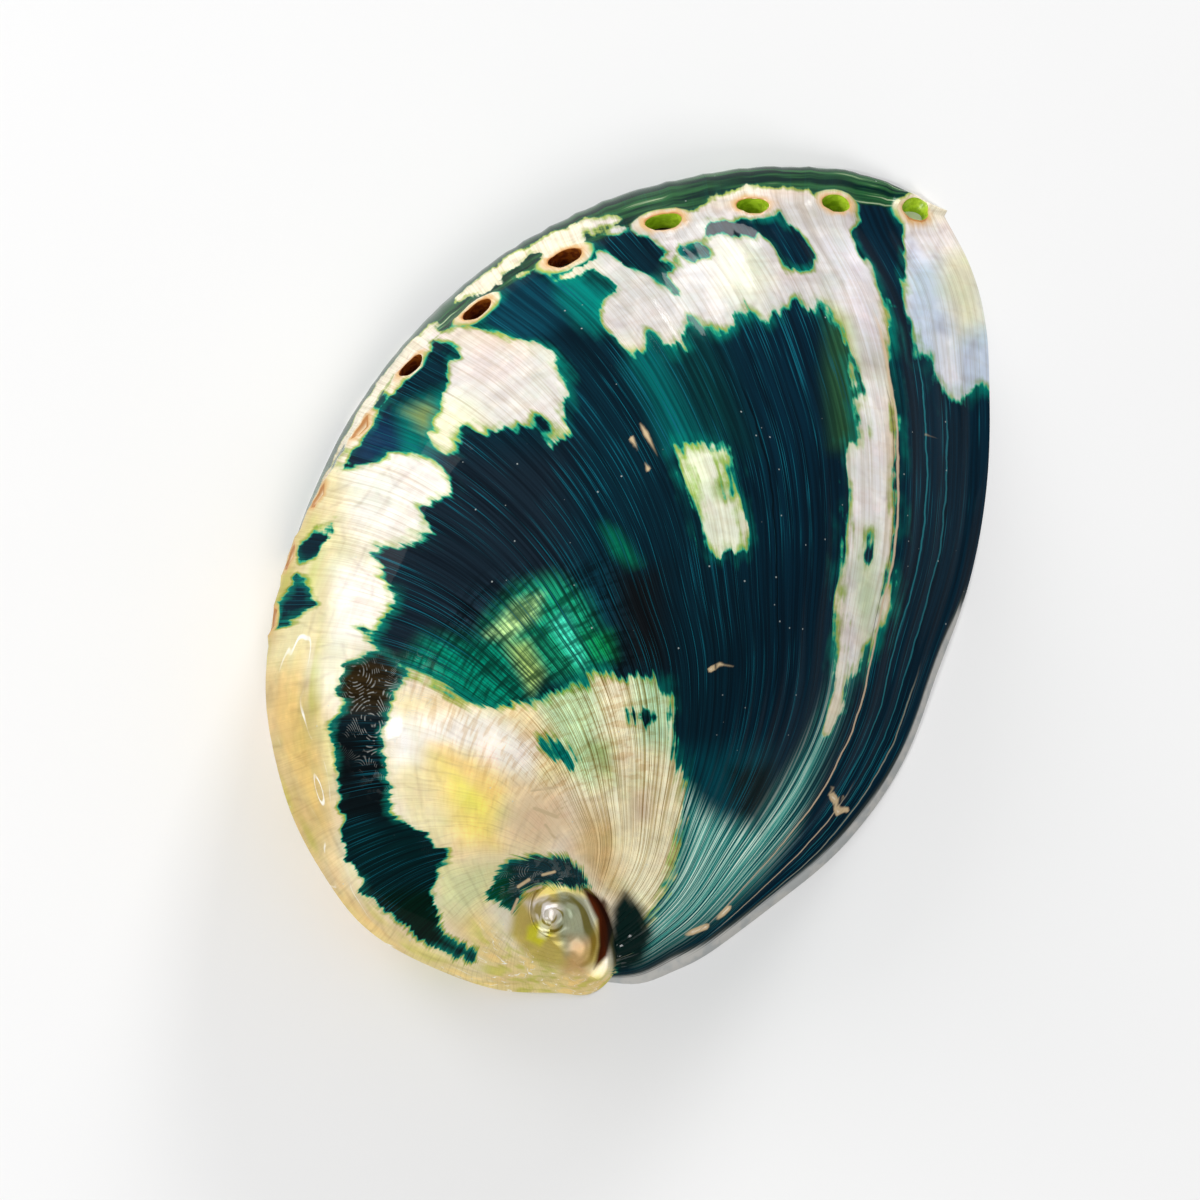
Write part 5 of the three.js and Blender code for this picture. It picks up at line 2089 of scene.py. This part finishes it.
@dataclass
class Studio:
    """A plain pale floor, soft light and the camera."""

    lens: float = 260.0
    sensor: float = 36.0
    frame_width: float = 0.1621
    brighter_side: tuple = (-0.72, 0.62, 0.30)
    dim_sky: float = 0.31
    bright_sky: float = 0.60
    lamps: tuple = (
        ("left", (-1.20, 0.29, 0.64), 0.5, 4.4),
        ("back", (-0.29, 1.30, 0.43), 0.35, 11.0),
        ("front", (0.34, -0.87, 1.05), 0.4, 4.2),
        ("glare", (-0.49, -0.45, 0.81), 0.10, 2.4),
    )

    def build(self) -> None:
        """Sets up floor, light and camera."""
        self.floor()
        self.world()
        for name, place, size, energy in self.lamps:
            self.lamp(name, place, size, energy)
        self.camera()

    def floor(self) -> None:
        """A plain pale floor."""
        deselect_all()
        bpy.ops.mesh.primitive_plane_add(size=6)
        floor = bpy.context.object
        floor.name = "floor"
        g = Graph("pale floor")
        place = g.object_millimetres()
        grain = g.noise(place, 0.02, 2.0)
        g.finish(g.mix(grain, (0.86, 0.86, 0.86), (0.88, 0.88, 0.88)), 0.7)
        floor.data.materials.append(g.material)

    def world(self) -> None:
        """Soft light from all round, stronger from the upper left."""
        world = bpy.data.worlds.new("studio")
        bpy.context.scene.world = world
        world.use_nodes = True
        tree = world.node_tree
        back = tree.nodes["Background"]
        place = tree.nodes.new("ShaderNodeTexCoord")
        lean = tree.nodes.new("ShaderNodeVectorMath")
        lean.operation = "DOT_PRODUCT"
        lean.inputs[1].default_value = self.brighter_side
        fall = tree.nodes.new("ShaderNodeMapRange")
        fall.inputs["From Min"].default_value = -1.0
        fall.inputs["From Max"].default_value = 1.0
        fall.inputs["To Min"].default_value = self.dim_sky
        fall.inputs["To Max"].default_value = self.bright_sky
        tree.links.new(place.outputs["Generated"], lean.inputs[0])
        tree.links.new(lean.outputs["Value"], fall.inputs["Value"])
        tree.links.new(fall.outputs["Result"], back.inputs["Strength"])
        back.inputs["Color"].default_value = (1.0, 1.0, 1.0, 1)

    def lamp(self, name: str, place: tuple, size: float, energy: float) -> None:
        """Hangs a soft square light that faces the shell.

        Args:
            name: Name of the light.
            place: Where it hangs.
            size: Its side.
            energy: Its power.
        """
        deselect_all()
        bpy.ops.object.light_add(type="AREA", location=place)
        lamp = bpy.context.object
        lamp.name = name
        lamp.data.size = size
        lamp.data.energy = energy
        lamp.rotation_euler = Vector(place).to_track_quat("Z", "Y").to_euler()

    def camera(self) -> None:
        """A long lens, looking down on the shell."""
        back = Vector(VIEW.towards).normalized()
        right = Vector(VIEW.across)
        right = (right - right.dot(back) * back).normalized()
        upward = back.cross(right)
        far = self.lens / self.sensor * self.frame_width
        deselect_all()
        bpy.ops.object.camera_add()
        camera = bpy.context.object
        camera.name = "camera"
        camera.data.lens = self.lens
        camera.data.sensor_width = self.sensor
        camera.data.clip_end = 20
        turn = Matrix((right, upward, back)).transposed().to_4x4()
        camera.matrix_world = Matrix.Translation(Vector(VIEW.look) * MILLIMETRE + back * far) @ turn
        bpy.context.scene.camera = camera
        bpy.context.scene.view_settings.view_transform = "Standard"


# ---- The whole -------------------------------------------------------------------------------


def main() -> None:
    """Builds the shell, dresses it and sets the scene."""
    logging.basicConfig(level=logging.INFO)
    materials = {
        Zone.OUTSIDE: PolishedOutside().material(),
        Zone.INSIDE: NacreInside().material(),
        Zone.RIM: WornRim().material(),
        Zone.GREEN_PORE: PoreWall("green pore", (0.58, 0.78, 0.05), (0.40, 0.58, 0.03)).material(),
        Zone.BROWN_PORE: PoreWall("brown pore", (0.42, 0.13, 0.015), (0.22, 0.05, 0.008)).material(),
    }
    body = ShellBody()
    shell = body.build(materials)
    Painter().paint(shell, body)
    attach(shell, "root")
    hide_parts(SHELL_NODE)
    triangles = sum(len(polygon.vertices) - 2 for polygon in shell.data.polygons)
    LOG.info("%s: %d triangles", shell.name, triangles)
    Studio().build()


if __name__ == "__main__":
    main()
